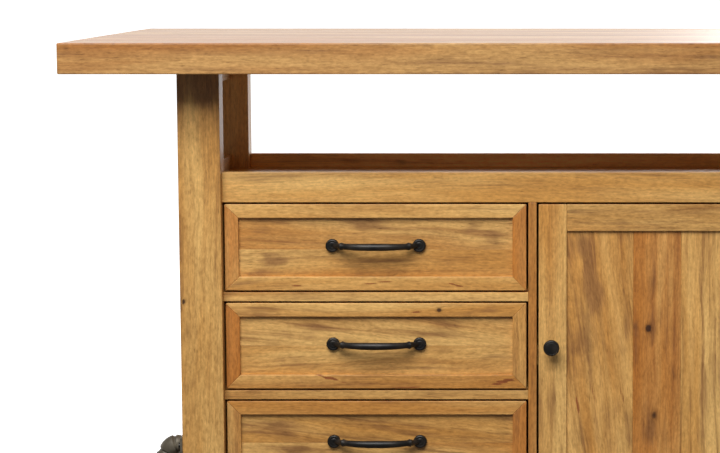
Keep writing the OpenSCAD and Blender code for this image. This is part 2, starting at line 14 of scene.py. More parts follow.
import bpy
import numpy as np
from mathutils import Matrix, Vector


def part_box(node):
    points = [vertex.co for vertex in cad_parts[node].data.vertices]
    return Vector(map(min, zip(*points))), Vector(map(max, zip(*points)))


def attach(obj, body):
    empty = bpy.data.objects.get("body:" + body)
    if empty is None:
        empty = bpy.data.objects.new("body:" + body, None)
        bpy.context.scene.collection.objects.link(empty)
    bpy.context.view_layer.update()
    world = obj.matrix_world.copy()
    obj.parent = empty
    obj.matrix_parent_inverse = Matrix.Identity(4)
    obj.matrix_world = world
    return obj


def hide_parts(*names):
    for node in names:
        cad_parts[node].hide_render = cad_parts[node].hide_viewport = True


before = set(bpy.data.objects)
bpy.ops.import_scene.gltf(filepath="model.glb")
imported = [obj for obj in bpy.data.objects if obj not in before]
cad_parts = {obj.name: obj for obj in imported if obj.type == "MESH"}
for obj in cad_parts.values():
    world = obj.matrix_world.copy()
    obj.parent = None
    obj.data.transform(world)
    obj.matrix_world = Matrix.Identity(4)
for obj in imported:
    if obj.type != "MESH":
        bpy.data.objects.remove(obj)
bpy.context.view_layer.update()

log = logging.getLogger("island")
MM = 0.001

Array = np.ndarray
Vec = tuple[float, float, float]


# ---------------------------------------------------------------- surfaces


class Axis(Enum):
    """The direction that a board's grain runs in, or that a turned piece turns about."""

    X = 0
    Y = 1
    Z = 2


class LongSide(Enum):
    """Which edge of a mitred member is its longer one, seen across the member."""

    NONE = 0
    LOW = 1
    HIGH = 2


@dataclass(frozen=True)
class Tone:
    """How one board differs from the next.

    light: brightness, 1 for the middle of the range; on the rear top rail and the rear left post it is raised
    as painted light.
    red: how far the colour goes to red-brown, 0 to 1.
    figure: how strongly dark streaks and arched rings show, 0 to 1.
    """

    light: float = 1.0
    red: float = 0.25
    figure: float = 0.4


class Kind(Enum):
    """What a mark in the wood is."""

    SMOKE = 0
    STREAK = 1
    KNOT = 2


@dataclass(frozen=True)
class Mark:
    """One feature of a board: a smoke-brown patch, red streaks or a knot; a few of the smoke patches are
    painted shade.

    kind: which of the three.
    along, across: its place on the board's broad face, each from 0 to 1.
    length, width: its reach to each side, along and across the grain.
    strength: how dark it is, 1 for full.
    tilt: its slope across the grain for each metre along, in metres.
    """

    kind: Kind
    along: float
    across: float
    length: float
    width: float
    strength: float = 1.0
    tilt: float = 0.0


def smoke(along: float, across: float, length: float, width: float, strength: float = 1.0) -> Mark:
    """A smoke-brown patch, its reach in millimetres; a few of them are painted shade."""
    return Mark(Kind.SMOKE, along, across, length * MM, width * MM, strength)


def streaks(along: float, across: float, length: float, width: float, strength: float,
            tilt: float = 0.0) -> Mark:
    """A group of red streaks, its reach in millimetres."""
    return Mark(Kind.STREAK, along, across, length * MM, width * MM, strength, tilt)


def knot(along: float, across: float, length: float, width: float, strength: float = 1.0) -> Mark:
    """A small knot, its reach in millimetres."""
    return Mark(Kind.KNOT, along, across, length * MM, width * MM, strength)


class Chance:
    """Seeded random draws, so that every run gives the same boards."""

    def __init__(self, seed: int) -> None:
        """Starts the draws from a seed."""
        self.draws = np.random.default_rng(seed)

    def shift(self) -> Array:
        """A place in the endless log that a board is cut from, in metres."""
        return self.draws.uniform(-20.0, 20.0, 3)

    def tone(self, base: Tone, spread: float = 0.08) -> Tone:
        """A tone near a given one.

        Args:
            base: the tone in the middle.
            spread: how far the light may move; red moves twice and figure three times as far.

        Returns:
            The drawn tone.
        """
        light, red, figure = self.draws.uniform(-1.0, 1.0, 3)
        return Tone(
            base.light * (1 + spread * light),
            float(np.clip(base.red + 2 * spread * red, 0, 1)),
            float(np.clip(base.figure + 3 * spread * figure, 0, 1)),
        )


CHANCE = Chance(11)


@dataclass
class Surface:
    """Vertices, faces and the three values that the wood reads at each vertex."""

    verts: Array = field(default_factory=lambda: np.zeros((0, 3)))
    faces: list[Sequence[int]] = field(default_factory=list)
    grain: Array = field(default_factory=lambda: np.zeros((0, 3)))
    tone: Array = field(default_factory=lambda: np.zeros((0, 3)))
    mark: Array = field(default_factory=lambda: np.zeros((0, 3)))

    def add(self, other: "Surface") -> "Surface":
        """Joins another surface to this one.

        Args:
            other: the surface to join.

        Returns:
            This surface.
        """
        start = len(self.verts)
        self.verts = np.vstack([self.verts, other.verts])
        self.grain = np.vstack([self.grain, other.grain])
        self.tone = np.vstack([self.tone, other.tone])
        self.mark = np.vstack([self.mark, other.mark])
        self.faces += [[start + i for i in face] for face in other.faces]
        return self

    def to_object(self, name: str, material: bpy.types.Material, smooth: bool = False) -> bpy.types.Object:
        """Makes the mesh and its object.

        Args:
            name: the piece's name.
            material: the finish that it gets.
            smooth: True for turned and cast pieces, with edges over 35 degrees kept sharp.

        Returns:
            The object, at the origin, linked to the scene.
        """
        mesh = bpy.data.meshes.new(name)
        mesh.from_pydata(self.verts.tolist(), [], [list(map(int, f)) for f in self.faces])
        for label, values in (("grain", self.grain), ("tone", self.tone), ("mark", self.mark)):
            if len(values) == len(self.verts):
                layer = mesh.attributes.new(label, "FLOAT_VECTOR", "POINT")
                layer.data.foreach_set("vector", values.astype(np.float32).ravel())
        mesh.polygons.foreach_set("use_smooth", np.full(len(mesh.polygons), smooth))
        if smooth:
            mesh.set_sharp_from_angle(angle=math.radians(35))
        mesh.materials.append(material)
        mesh.update()
        piece = bpy.data.objects.new(name, mesh)
        bpy.context.scene.collection.objects.link(piece)
        return piece


def skin(rings: Array) -> Surface:
    """Faces between rings of points, which lie one after the other along a piece.

    Each ring is joined to the next by four-sided faces, and each end is closed by one flat face.

    Args:
        rings: an array of rings by points by 3, each ring running the same way round.

    Returns:
        The surface, with its faces outwards where a ring runs anticlockwise about the direction
        of the rings.
    """
    count, around = rings.shape[:2]
    index = np.arange(count * around).reshape(count, around)
    nxt = np.roll(index, -1, axis=1)
    quads = np.stack([index[:-1], nxt[:-1], nxt[1:], index[1:]], axis=-1).reshape(-1, 4)
    faces = quads.tolist() + [index[0][::-1].tolist(), index[-1].tolist()]
    verts = rings.reshape(-1, 3)
    blank = np.zeros_like(verts)
    return Surface(verts, faces, blank, blank, blank)


@dataclass(frozen=True)
class Board:
    """One board with eased edges, cut square or mitred at both ends.

    lo, hi: its lowest and highest corners.
    axis: the direction of its grain.
    tone: how it differs from its neighbours.
    long_side: the longer edge of a mitred member.
    ease: the radius of its eased edges.
    slant: how far the grain wanders across for each metre along.
    marks: its patches, streaks and knots.
    cell: the grid that a marked board's broad faces are cut into.
    """

    lo: Vec
    hi: Vec
    axis: Axis
    tone: Tone = Tone()
    long_side: LongSide = LongSide.NONE
    ease: float = 1.2 * MM
    slant: float = 0.0
    marks: tuple[Mark, ...] = ()
    cell: float = 4.0 * MM

    def surface(self) -> Surface:
        """The board's surface.

        A ring is a rectangle with quarter-circle corners. Rings stand along the grain, and near
        each end they shrink along a quarter circle, so the ends are eased too. A mitre moves each
        point along the grain by its distance from the longer edge. A board with marks gets a grid
        of cells over its broad faces, so that each mark has its own shape.

        Returns:
            The closed surface, with its grain, tone and marks.
        """
        lo, hi = np.array(self.lo), np.array(self.hi)
        along = self.axis.value
        across, thick = sorted([k for k in (0, 1, 2) if k != along], key=lambda k: lo[k] - hi[k])
        half = (hi - lo)[[across, thick]] / 2
        middle = (hi + lo)[[across, thick]] / 2
        cells = [1, 1]
        if self.marks:
            cells = [max(1, round(size / self.cell)) for size in (2 * half[0], (hi - lo)[along])]
        turn = np.linspace(0, math.pi / 2, 4)
        centres, normals = [], []
        corners = np.array([[1, 1], [-1, 1], [-1, -1], [1, -1]]) * (half - self.ease)
        for k in range(4):
            angle = turn + k * math.pi / 2
            centres.append(np.repeat(corners[k : k + 1], len(turn), axis=0))
            normals.append(np.stack([np.cos(angle), np.sin(angle)], axis=1))
            if k % 2 == 0:
                share = np.arange(1, cells[0])[:, None] / cells[0]
                centres.append(corners[k] + share * (corners[k + 1] - corners[k]))
                normals.append(np.repeat(normals[-1][-1:], cells[0] - 1, axis=0))
        centre, normal = np.vstack(centres), np.vstack(normals)
        inset = self.ease * (1 - np.cos(turn))[::-1]
        back = self.ease * (1 - np.sin(turn))[::-1]
        insets = np.concatenate([inset, np.zeros(cells[1] - 1), inset[::-1]])
        outline = middle + centre + (self.ease - insets)[:, None, None] * normal
        b, c = outline[..., 0], outline[..., 1]
        distances = {LongSide.NONE: 0 * b, LongSide.LOW: b - lo[across], LongSide.HIGH: hi[across] - b}
        far = distances[self.long_side]
        share = np.arange(1, cells[1]) / cells[1]
        from_low = np.concatenate([back, np.full(len(share) + len(back), self.ease)])
        from_high = np.concatenate([np.full(len(share) + len(back), self.ease), back[::-1]])
        place = np.concatenate([np.zeros(len(back)), share, np.ones(len(back))])[:, None]
        start, end = lo[along] + from_low[:, None] + far, hi[along] - from_high[:, None] - far
        a = (1 - place) * start + place * end
        rings = np.zeros((*b.shape, 3))
        rings[..., along], rings[..., across], rings[..., thick] = a, b, c
        surface = skin(rings)
        if (across - along) % 3 != 1:
            surface.faces = [face[::-1] for face in surface.faces]
        local = surface.verts[:, [along, across, thick]] - np.array([lo[along], middle[0], middle[1]])
        surface.mark = self.marked(local[:, 0], local[:, 1] + half[0], 2 * half[0], hi[along] - lo[along])
        local[:, 1] += self.slant * local[:, 0]
        surface.grain = local + CHANCE.shift()
        surface.tone = np.tile([self.tone.light, self.tone.red, self.tone.figure], (len(local), 1))
        return surface

    def marked(self, a: Array, b: Array, width: float, length: float) -> Array:
        """The strength of each kind of mark at places a along and b across the board.

        Each mark is a bell, exp(-(da / length)^2 - (db / width)^2), and marks of one kind add up.

        Args:
            a, b: the places, along and across.
            width, length: the board's own size.

        Returns:
            One row for each place, with the smoke patches and painted shade, the streaks and the knots.
        """
        values = np.zeros((len(a), 3))
        for mark in self.marks:
            da = a - mark.along * length
            db = b - mark.across * width - mark.tilt * da
            bell = mark.strength * np.exp(-((da / mark.length) ** 2) - (db / mark.width) ** 2)
            values[:, mark.kind.value] += bell
        return values


def boards(parts: Sequence[Board]) -> Surface:
    """Several boards as one surface.

    Args:
        parts: the boards.

    Returns:
        Their surfaces together.
    """
    whole = Surface()
    for part in parts:
        whole.add(part.surface())
    return whole


def split(lo: Vec, hi: Vec, axis: Axis, across: Axis, shares: Sequence[float], tones: Sequence[Tone],
          gap: float = 0.1 * MM, ease: float = 0.5 * MM, slants: Sequence[float] = (),
          marks: Sequence[tuple[Mark, ...]] = ()) -> list[Board]:
    """Boards glued edge to edge.

    Args:
        lo, hi: the corners of the whole.
        axis: the direction of the grain.
        across: the direction in which the boards follow each other.
        shares: where they meet, from 0 to 1, both ends included.
        tones: one tone for each board.
        gap: the width of the joint.
        ease: the radius of their edges.
        slants: the wander of each board's grain, or nothing.
        marks: each board's marks, or nothing.

    Returns:
        The boards, from the lowest to the highest.
    """
    k = across.value
    length = hi[k] - lo[k]
    parts = []
    for i, (start, end, tone) in enumerate(zip(shares[:-1], shares[1:], tones)):
        first, last = list(lo), list(hi)
        first[k] = lo[k] + start * length + gap / 2
        last[k] = lo[k] + end * length - gap / 2
        parts.append(Board(tuple(first), tuple(last), axis, tone, ease=ease,
                           slant=slants[i] if slants else 0.0, marks=marks[i] if marks else ()))
    return parts


def turned(profile: Array, centre: Vec, axis: Axis, segments: int = 48) -> Surface:
    """A turned piece: a profile of (distance along the axis, radius) carried once round the axis.

    Each point keeps its distance along the axis, and its radius is swept through a full circle.

    Args:
        profile: the outline, from one end to the other.
        centre: where distance 0 on the axis stands.
        axis: what it turns about.
        segments: points round it.

    Returns:
        The surface, closed at both ends.
    """
    angle = np.linspace(0, 2 * math.pi, segments, endpoint=False)
    along = axis.value
    first, second = (along + 1) % 3, (along + 2) % 3
    rings = np.zeros((len(profile), segments, 3))
    rings[..., along] = profile[:, 0:1]
    rings[..., first] = profile[:, 1:2] * np.cos(angle)
    rings[..., second] = profile[:, 1:2] * np.sin(angle)
    return skin(rings + np.array(centre))


def turned_ring(profile: Array, centre: Vec, axis: Axis, segments: int = 96) -> Surface:
    """A ring: a closed profile of (distance along the axis, radius) carried once round the axis.

    Args:
        profile: the outline of its section, which closes on itself.
        centre: where distance 0 on the axis stands.
        axis: what it turns about.
        segments: points round it.

    Returns:
        The surface.
    """
    angle = np.linspace(0, 2 * math.pi, segments, endpoint=False)
    along = axis.value
    first, second = (along + 1) % 3, (along + 2) % 3
    grid = np.zeros((segments, len(profile), 3))
    grid[..., along] = profile[:, 0]
    grid[..., first] = profile[:, 1] * np.cos(angle)[:, None]
    grid[..., second] = profile[:, 1] * np.sin(angle)[:, None]
    verts = (grid + np.array(centre)).reshape(-1, 3)
    index = np.arange(segments * len(profile)).reshape(segments, len(profile))
    right, up = np.roll(index, -1, axis=1), np.roll(index, -1, axis=0)
    both = np.roll(up, -1, axis=1)
    faces = np.stack([index, right, both, up], axis=-1).reshape(-1, 4).tolist()
    blank = np.zeros_like(verts)
    return Surface(verts, faces, blank, blank, blank)


def swept(path: Array, radius: Array, segments: int) -> Surface:
    """A round bar: a circle carried along a path, square to it.

    Args:
        path: the points of its middle line, in one plane or nearly.
        radius: the bar's radius at each point.
        segments: points round the bar.

    Returns:
        The surface, closed at both ends.
    """
    tangent = np.gradient(path, axis=0)
    tangent /= np.linalg.norm(tangent, axis=1, keepdims=True)
    chord = np.ptp(path, axis=0)
    up = np.zeros(3)
    up[int(np.argmin(chord))] = 1.0
    side = np.cross(tangent, up)
    side /= np.linalg.norm(side, axis=1, keepdims=True)
    over = np.cross(side, tangent)
    angle = np.linspace(0, 2 * math.pi, segments, endpoint=False)
    rings = (
        path[:, None, :]
        + radius[:, None, None] * np.cos(angle)[None, :, None] * over[:, None, :]
        + radius[:, None, None] * np.sin(angle)[None, :, None] * side[:, None, :]
    )
    surface = skin(rings)
    surface.faces = [face[::-1] for face in surface.faces]
    return surface


# ---------------------------------------------------------------- finishes


def linear(hexcode: str) -> tuple[float, float, float, float]:
    """A linear colour, with full opacity, from an sRGB hex value such as "#c08a4c"."""
    parts = [int(hexcode[i : i + 2], 16) / 255 for i in (1, 3, 5)]
    return tuple([c / 12.92 if c <= 0.04045 else ((c + 0.055) / 1.055) ** 2.4 for c in parts] + [1.0])


TIMES = {"operation": "MULTIPLY"}
LESS = {"operation": "SUBTRACT"}
TIMES_PLUS = {"operation": "MULTIPLY_ADD"}
SMOOTH = {"interpolation_type": "SMOOTHSTEP"}
COLOURS = {"data_type": "RGBA"}


def add_node(tree: bpy.types.NodeTree, kind: str, inputs: Sequence[Any] | dict[Any, Any] = (),
             **settings: Any) -> bpy.types.Node:
    """Adds a node.

    Args:
        tree: the tree that it joins.
        kind: the node's type, without its "ShaderNode".
        inputs: values, sockets or nodes (for their first output), in order, or by name or number.
        settings: the node's own settings.

    Returns:
        The node.
    """
    made = tree.nodes.new(f"ShaderNode{kind}")
    for key, value in settings.items():
        setattr(made, key, value)
    for key, value in inputs.items() if isinstance(inputs, dict) else enumerate(inputs):
        source = value.outputs[0] if isinstance(value, bpy.types.Node) else value
        if isinstance(source, bpy.types.NodeSocket):
            tree.links.new(source, made.inputs[key])
        else:
            made.inputs[key].default_value = source
    return made


def clouds(tree: bpy.types.NodeTree, place: Any, scale: Vec, detail: float = 2.0, rough: float = 0.5,
           twist: float = 0.0) -> bpy.types.Node:
    """A soft random pattern, from 0 to 1.

    Args:
        tree: the tree that it joins.
        place: where it is read.
        scale: its cycles for each metre in each direction.
        detail, rough, twist: how many finer layers it has, how strong they are and how it curls.

    Returns:
        The node that gives it.
    """
    stretched = add_node(tree, "VectorMath", (place, scale), **TIMES)
    return add_node(tree, "TexNoise", {"Vector": stretched, "Scale": 1.0, "Detail": detail,
                                       "Roughness": rough, "Distortion": twist})


class Recipe:
    """A new material with one shader."""

    def __init__(self, name: str) -> None:
        """Starts the material with a shader and an output."""
        self.material = bpy.data.materials.new(name)
        self.material.use_nodes = True
        self.tree = self.material.node_tree
        self.tree.nodes.clear()
        self.shader = add_node(self.tree, "BsdfPrincipled")
        add_node(self.tree, "OutputMaterial", {"Surface": self.shader})

    def emboss(self, height: bpy.types.Node, depth: float, strength: float) -> None:
        """Lets a height roughen the surface; its depth is in metres."""
        made = add_node(self.tree, "Bump", {"Height": height, "Distance": depth, "Strength": strength})
        self.tree.links.new(made.outputs[0], self.shader.inputs["Normal"])

    def finish(self, **values: Any) -> bpy.types.Material:
        """Sets the shader's inputs.

        Args:
            values: a value, socket or node for each input, by its name with _ for a space.

        Returns:
            The material.
        """
        for key, value in values.items():
            socket = self.shader.inputs[key.replace("_", " ")]
            source = value.outputs[0] if isinstance(value, bpy.types.Node) else value
            if isinstance(source, bpy.types.NodeSocket):
                self.tree.links.new(source, socket)
            else:
                socket.default_value = source
        return self.material


# The patterns in the wood: cycles for each metre along, across and through the grain, detail,
# roughness and twist. Real pores are about a fifth as wide as these, which are drawn to show.
WOOD = {
    "broad": ((1.3, 15.0, 15.0), 3.0, 0.55),
    "streak": ((3.0, 70.0, 70.0), 5.0, 0.66, 0.25),
    "patch": ((11.0, 30.0, 30.0), 5.0, 0.66, 0.6),
    "fibre": ((26.0, 330.0, 330.0), 4.0, 0.7),
    "fleck": ((110.0, 260.0, 260.0), 2.0, 0.6),
    "pores": ((75.0, 620.0, 620.0), 1.0, 0.5),
    "slow": ((0.9, 5.0, 5.0), 1.0, 0.4),
}
WANDER = ((1.7, 8.0, 8.0), 0.045)
RIPPLE = ((14.0, 40.0, 40.0), 0.004)


@dataclass(frozen=True)
class LacqueredMango:
    """Solid mango wood, planed, sanded and sprayed with satin lacquer.

    To the eye it is golden with brown and reddish streaks that run with the grain, arched rings
    where a board is flat-sawn, small dark knots and short open pores under a soft sheen.
    Where own_grain is True the pattern follows each board's own grain, else the given axis.
    """

    name: str
    pale: str = "#dfb068"
    golden: str = "#c68e46"
    brown: str = "#805329"
    red: str = "#b4661c"
    # The smoke-brown colour is also the colour of the marks that are painted shade.
    smoke: str = "#835530"
    vein: str = "#85401c"
    knot: str = "#33190c"
    gloss: float = 0.42
    fibre: float = 0.95
    own_grain: bool = True
    axis: Axis = Axis.X
    tone: Tone = Tone()

    def coordinates(self, tree: bpy.types.NodeTree) -> tuple[Any, Sequence[Any], Sequence[Any]]:
        """Where the pattern is read.

        Args:
            tree: the material's tree.

        Returns:
            The place in the log, along, across and through the grain; the board's light, red and
            figure; and the strengths of its smoke patches and painted shade, streaks and knots.
        """
        if self.own_grain:
            place, tone, mark = (add_node(tree, "Attribute", attribute_name=label).outputs[1]
                                 for label in ("grain", "tone", "mark"))
            light, marks = (add_node(tree, "SeparateXYZ", (value,)).outputs for value in (tone, mark))
            return place, light, marks
        parts = add_node(tree, "SeparateXYZ", (add_node(tree, "TexCoord").outputs["Object"],)).outputs
        place = add_node(tree, "CombineXYZ", [parts[(self.axis.value + k) % 3] for k in range(3)])
        return place, (self.tone.light, self.tone.red, self.tone.figure), (0.0, 0.0, 0.0)

    def bent(self, tree: bpy.types.NodeTree, place: Any, knotty: Any) -> bpy.types.Node:
        """The place in the log after the grain's wander.

        Across the grain it moves about 10 mm to each side over half a metre, with a small ripple,
        and it bends round knots.

        Args:
            tree: the material's tree.
            place: the place in straight grain.
            knotty: how near a knot is, from 0 to 1.

        Returns:
            The node that gives the moved place.
        """
        u, v, w = add_node(tree, "SeparateXYZ", (place,)).outputs
        for scale, reach in (WANDER, RIPPLE):
            aside = add_node(tree, "Math", (clouds(tree, place, scale), 0.5), **LESS)
            v = add_node(tree, "Math", (aside, reach, v), **TIMES_PLUS)
        v = add_node(tree, "Math", (knotty, 0.006, v), **TIMES_PLUS)
        return add_node(tree, "CombineXYZ", (u, v, w))

    def build(self) -> bpy.types.Material:
        """Lays colours over each other, then shades them.

        Each layer's share rises smoothly between two values of its pattern. The shade is the
        board's light, less its rings, patches, pores and the halos of knots, with fibres and
        flecks. Green and blue take it to a higher power than red, so that dark wood is warmer.

        Returns:
            The material.
        """
        r = Recipe(self.name)
        tree, add = r.tree, partial(add_node, r.tree)
        place, (light, red, figure), (smoke_and_shade_strength, streaky, knotty) = self.coordinates(tree)
        place = self.bent(tree, place, knotty)
        wood = {name: clouds(tree, place, *values) for name, values in WOOD.items()}
        off = {name: add("Math", (pattern, 0.5), **LESS) for name, pattern in wood.items()}
        redder = add("Math", (wood["streak"], 0.3, wood["broad"]), **TIMES_PLUS)
        redder = add("Math", (red, 0.35, redder), **TIMES_PLUS)
        cloud = add("Math", (figure, 0.10, wood["patch"]), **TIMES_PLUS)
        # Smoke marks pull the cloud layer towards the smoke-brown colour; a few of them are painted shade.
        for value, strength in ((smoke_and_shade_strength, 0.24), (off["streak"], 0.9), (off["fleck"], 0.25)):
            cloud = add("Math", (value, strength, cloud), **TIMES_PLUS)
        line = add("Math", (wood["fibre"], 0.15, wood["streak"]), **TIMES_PLUS)
        line = add("Math", (streaky, 0.32, line), **TIMES_PLUS)
        deep = add("Math", (figure, 0.75, 0.10), **TIMES_PLUS)
        colour = linear(self.pale)
        for value, start, full, strength, tint in (
                (wood["broad"], 0.36, 0.66, 1.0, self.golden), (wood["streak"], 0.50, 0.74, deep, self.brown),
                (redder, 0.50, 0.90, red, self.red), (cloud, 0.60, 0.94, 0.66, self.smoke),
                (line, 0.78, 0.88, 0.85, self.vein)):
            share = add("MapRange", (value, start, full, 0.0, 1.0), **SMOOTH)
            share = add("Math", (share, strength), **TIMES)
            colour = add("Mix", {0: share, 6: colour, 7: linear(tint)}, **COLOURS).outputs[2]
        # Arched rings are the contours of a slow field.
        rings = add("Math", (add("Math", (wood["slow"], 150.0), **TIMES),), operation="SINE")
        shade = add("Math", (add("Math", (rings, figure), **TIMES), -0.07, light), **TIMES_PLUS)
        for name, strength in (("fibre", self.fibre), ("fleck", self.fibre * 0.8), ("streak", -0.40),
                               ("patch", -0.22)):
            shade = add("Math", (off[name], strength, shade), **TIMES_PLUS)
        pitted = add("MapRange", (wood["pores"], 0.62, 0.74, 0.0, 0.24), **SMOOTH)
        shade = add("Math", (shade, pitted), **LESS)
        halo = add("MapRange", (knotty, 0.05, 0.5, 0.0, 1.0), **SMOOTH)
        shade = add("Math", (shade, add("Math", (halo, 0.22), **TIMES)), **LESS)
        green, blue = (add("Math", (shade, power), operation="POWER") for power in (1.15, 1.35))
        warm = add("CombineXYZ", (shade, green, blue))
        colour = add("Mix", {0: 1.0, 6: colour, 7: warm}, blend_type="MULTIPLY", **COLOURS).outputs[2]
        core = add("Math", (add("MapRange", (knotty, 0.45, 0.75, 0.0, 1.0), **SMOOTH), 0.9), **TIMES)
        colour = add("Mix", {0: core, 6: colour, 7: linear(self.knot)}, **COLOURS).outputs[2]
        rough = add("Math", (off["streak"], 0.25, self.gloss), **TIMES_PLUS)
        sunk = add("MapRange", (wood["pores"], 0.60, 0.72, 0.0, -1.0), **SMOOTH)
        r.emboss(add("Math", (wood["fibre"], 0.5, sunk), **TIMES_PLUS), 0.25 * MM, 0.22)
        return r.finish(Base_Color=colour, Roughness=rough, Coat_Weight=0.12, Coat_Roughness=0.3)


@dataclass(frozen=True)
class BlackIron:
    """Cast iron, tumbled and sprayed with thin black lacquer.

    To the eye it is near black and slightly pitted, with small soft highlights and a brown cast
    where the lacquer is thin. Real pits are finer; they are drawn 2 mm apart, so that they show.
    """

    name: str
    black: str = "#1b1917"
    thin: str = "#322c26"
    rough: float = 0.42
    pit: float = 2.0 * MM
    metallic: float = 0.35
    depth: float = 0.35 * MM

    def build(self) -> bpy.types.Material:
        """Mixes the two colours by clouds and roughens the skin with pits.

        Returns:
            The material.
        """
        r = Recipe(self.name)
        add = partial(add_node, r.tree)
        place = add("TexCoord").outputs["Object"]
        pits = clouds(r.tree, place, (1 / self.pit,) * 3, 3.0, 0.6)
        worn = add("MapRange", (clouds(r.tree, place, (45.0,) * 3), 0.42, 0.72, 0.0, 1.0), **SMOOTH)
        colour = add("Mix", {0: worn, 6: linear(self.black), 7: linear(self.thin)}, **COLOURS).outputs[2]
        rough = add("Math", (add("Math", (pits, 0.5), **LESS), 0.25, self.rough), **TIMES_PLUS)
        r.emboss(pits, self.depth, 0.35)
        return r.finish(Base_Color=colour, Roughness=rough, Metallic=self.metallic)


@dataclass(frozen=True)
class HardRubber:
    """Moulded hard rubber: dull dark grey with a fine dusty grain."""

    name: str
    grey: str = "#2c2a28"
    dust: str = "#4a4642"
    grain: float = 1.5 * MM

    def build(self) -> bpy.types.Material:
        """Mixes the two colours by clouds of dust and roughens the skin with grit.

        Returns:
            The material.
        """
        r = Recipe(self.name)
        add = partial(add_node, r.tree)
        place = add("TexCoord").outputs["Object"]
        grit = clouds(r.tree, place, (1 / self.grain,) * 3)
        dusty = add("MapRange", (clouds(r.tree, place, (30.0,) * 3, 3.0, 0.6), 0.45, 0.8, 0.0, 1.0), **SMOOTH)
        colour = add("Mix", {0: dusty, 6: linear(self.grey), 7: linear(self.dust)}, **COLOURS).outputs[2]
        r.emboss(grit, 0.2 * MM, 0.2)
        rough = add("MapRange", (grit, 0.2, 0.8, 0.62, 0.8), **SMOOTH)
        return r.finish(Base_Color=colour, Roughness=rough)


class Finishes:
    """Every finish of the cart, built once."""

    def __init__(self) -> None:
        """Builds the materials."""
        self.wood = LacqueredMango("lacquered_mango").build()
        self.slab = LacqueredMango("lacquered_mango_slab", pale="#d3a465", golden="#b57a40", brown="#80522c",
                                   smoke="#8a6040", gloss=0.36, fibre=0.8).build()
        inner = dict(own_grain=False, tone=Tone(0.9, 0.2, 0.3), gloss=0.55)
        self.inner = {axis: LacqueredMango(f"thinly_lacquered_mango_{axis.name.lower()}", axis=axis,
                                           **inner).build() for axis in Axis}
        self.iron = BlackIron("black_lacquered_cast_iron").build()
        # The foot rails' iron is painted pale grey, lighter than the pulls: a painted sheen of the white
        # studio on dark iron.
        self.iron_with_painted_sheen = BlackIron("cast_iron_with_painted_sheen", black="#5d5547", thin="#857b69", rough=0.5,
                              pit=5.0 * MM, metallic=0.35, depth=0.12 * MM).build()
        self.steel = BlackIron("black_lacquered_steel", black="#211f1d", thin="#2e2b28", rough=0.32,
                               pit=1.0 * MM, metallic=0.6).build()
        self.rubber = HardRubber("moulded_hard_rubber").build()


def low(node: str) -> Array:
    """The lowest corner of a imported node."""
    return np.array(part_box(node)[0])


def high(node: str) -> Array:
    """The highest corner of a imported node."""
    return np.array(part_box(node)[1])


def place_piece(piece: bpy.types.Object, body: str, slot: str, *nodes: str) -> None:
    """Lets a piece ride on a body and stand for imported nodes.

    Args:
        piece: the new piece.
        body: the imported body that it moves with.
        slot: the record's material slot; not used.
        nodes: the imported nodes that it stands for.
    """
    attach(piece, body)
    if nodes:
        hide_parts(*nodes)
    log.info("%s on %s, %d faces", piece.name, body, len(piece.data.polygons))


def dress(node: str, material: bpy.types.Material, ease: float = 0.0) -> None:
    """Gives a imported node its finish.

    Args:
        node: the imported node.
        material: its finish.
        ease: the width of its eased edges, or 0 to leave them sharp.
    """
    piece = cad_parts[node]
    piece.data.materials.clear()
    piece.data.materials.append(material)
    if ease:
        weld = piece.modifiers.new("weld", "WELD")
        weld.merge_threshold = 0.01 * MM
        bevel = piece.modifiers.new("ease", "BEVEL")
        bevel.width = ease
        bevel.segments = 2
        bevel.limit_method = "ANGLE"
        bevel.angle_limit = math.radians(40)
    log.info("%s dressed", node)


# ---------------------------------------------------------------- sub-assemblies


@dataclass
class SlabTop:
    """The slab: long boards glued edge to edge, and the battens that hold it."""

    finishes: Finishes
    shares: tuple[float, ...] = (0, 0.13, 0.27, 0.40, 0.54, 0.66, 0.80, 0.91, 1)
    ease: float = 2.0 * MM
    base: Tone = Tone(0.98, 0.2, 0.4)
    front: Tone = Tone(0.82, 0.15, 0.4)

    def build(self) -> None:
        """Makes the slab and the battens."""
        lo, hi = tuple(low("top_slab")), tuple(high("top_slab"))
        tones = [self.front] + [CHANCE.tone(self.base, 0.05) for _ in self.shares[2:]]
        parts = split(lo, hi, Axis.X, Axis.Y, self.shares, tones, gap=0.05 * MM, ease=self.ease)
        inner = [Board(p.lo, p.hi, p.axis, p.tone, ease=0.35 * MM) for p in parts[1:-1]]
        edge = [Board(p.lo, p.hi, p.axis, p.tone, ease=self.ease) for p in (parts[0], parts[-1])]
        piece = boards(inner + edge).to_object("slab_boards", self.finishes.slab)
        place_piece(piece, "cabinet", "slab_wood", "top_slab")
        dress("top_battens", self.finishes.inner[Axis.Y], 1.0 * MM)


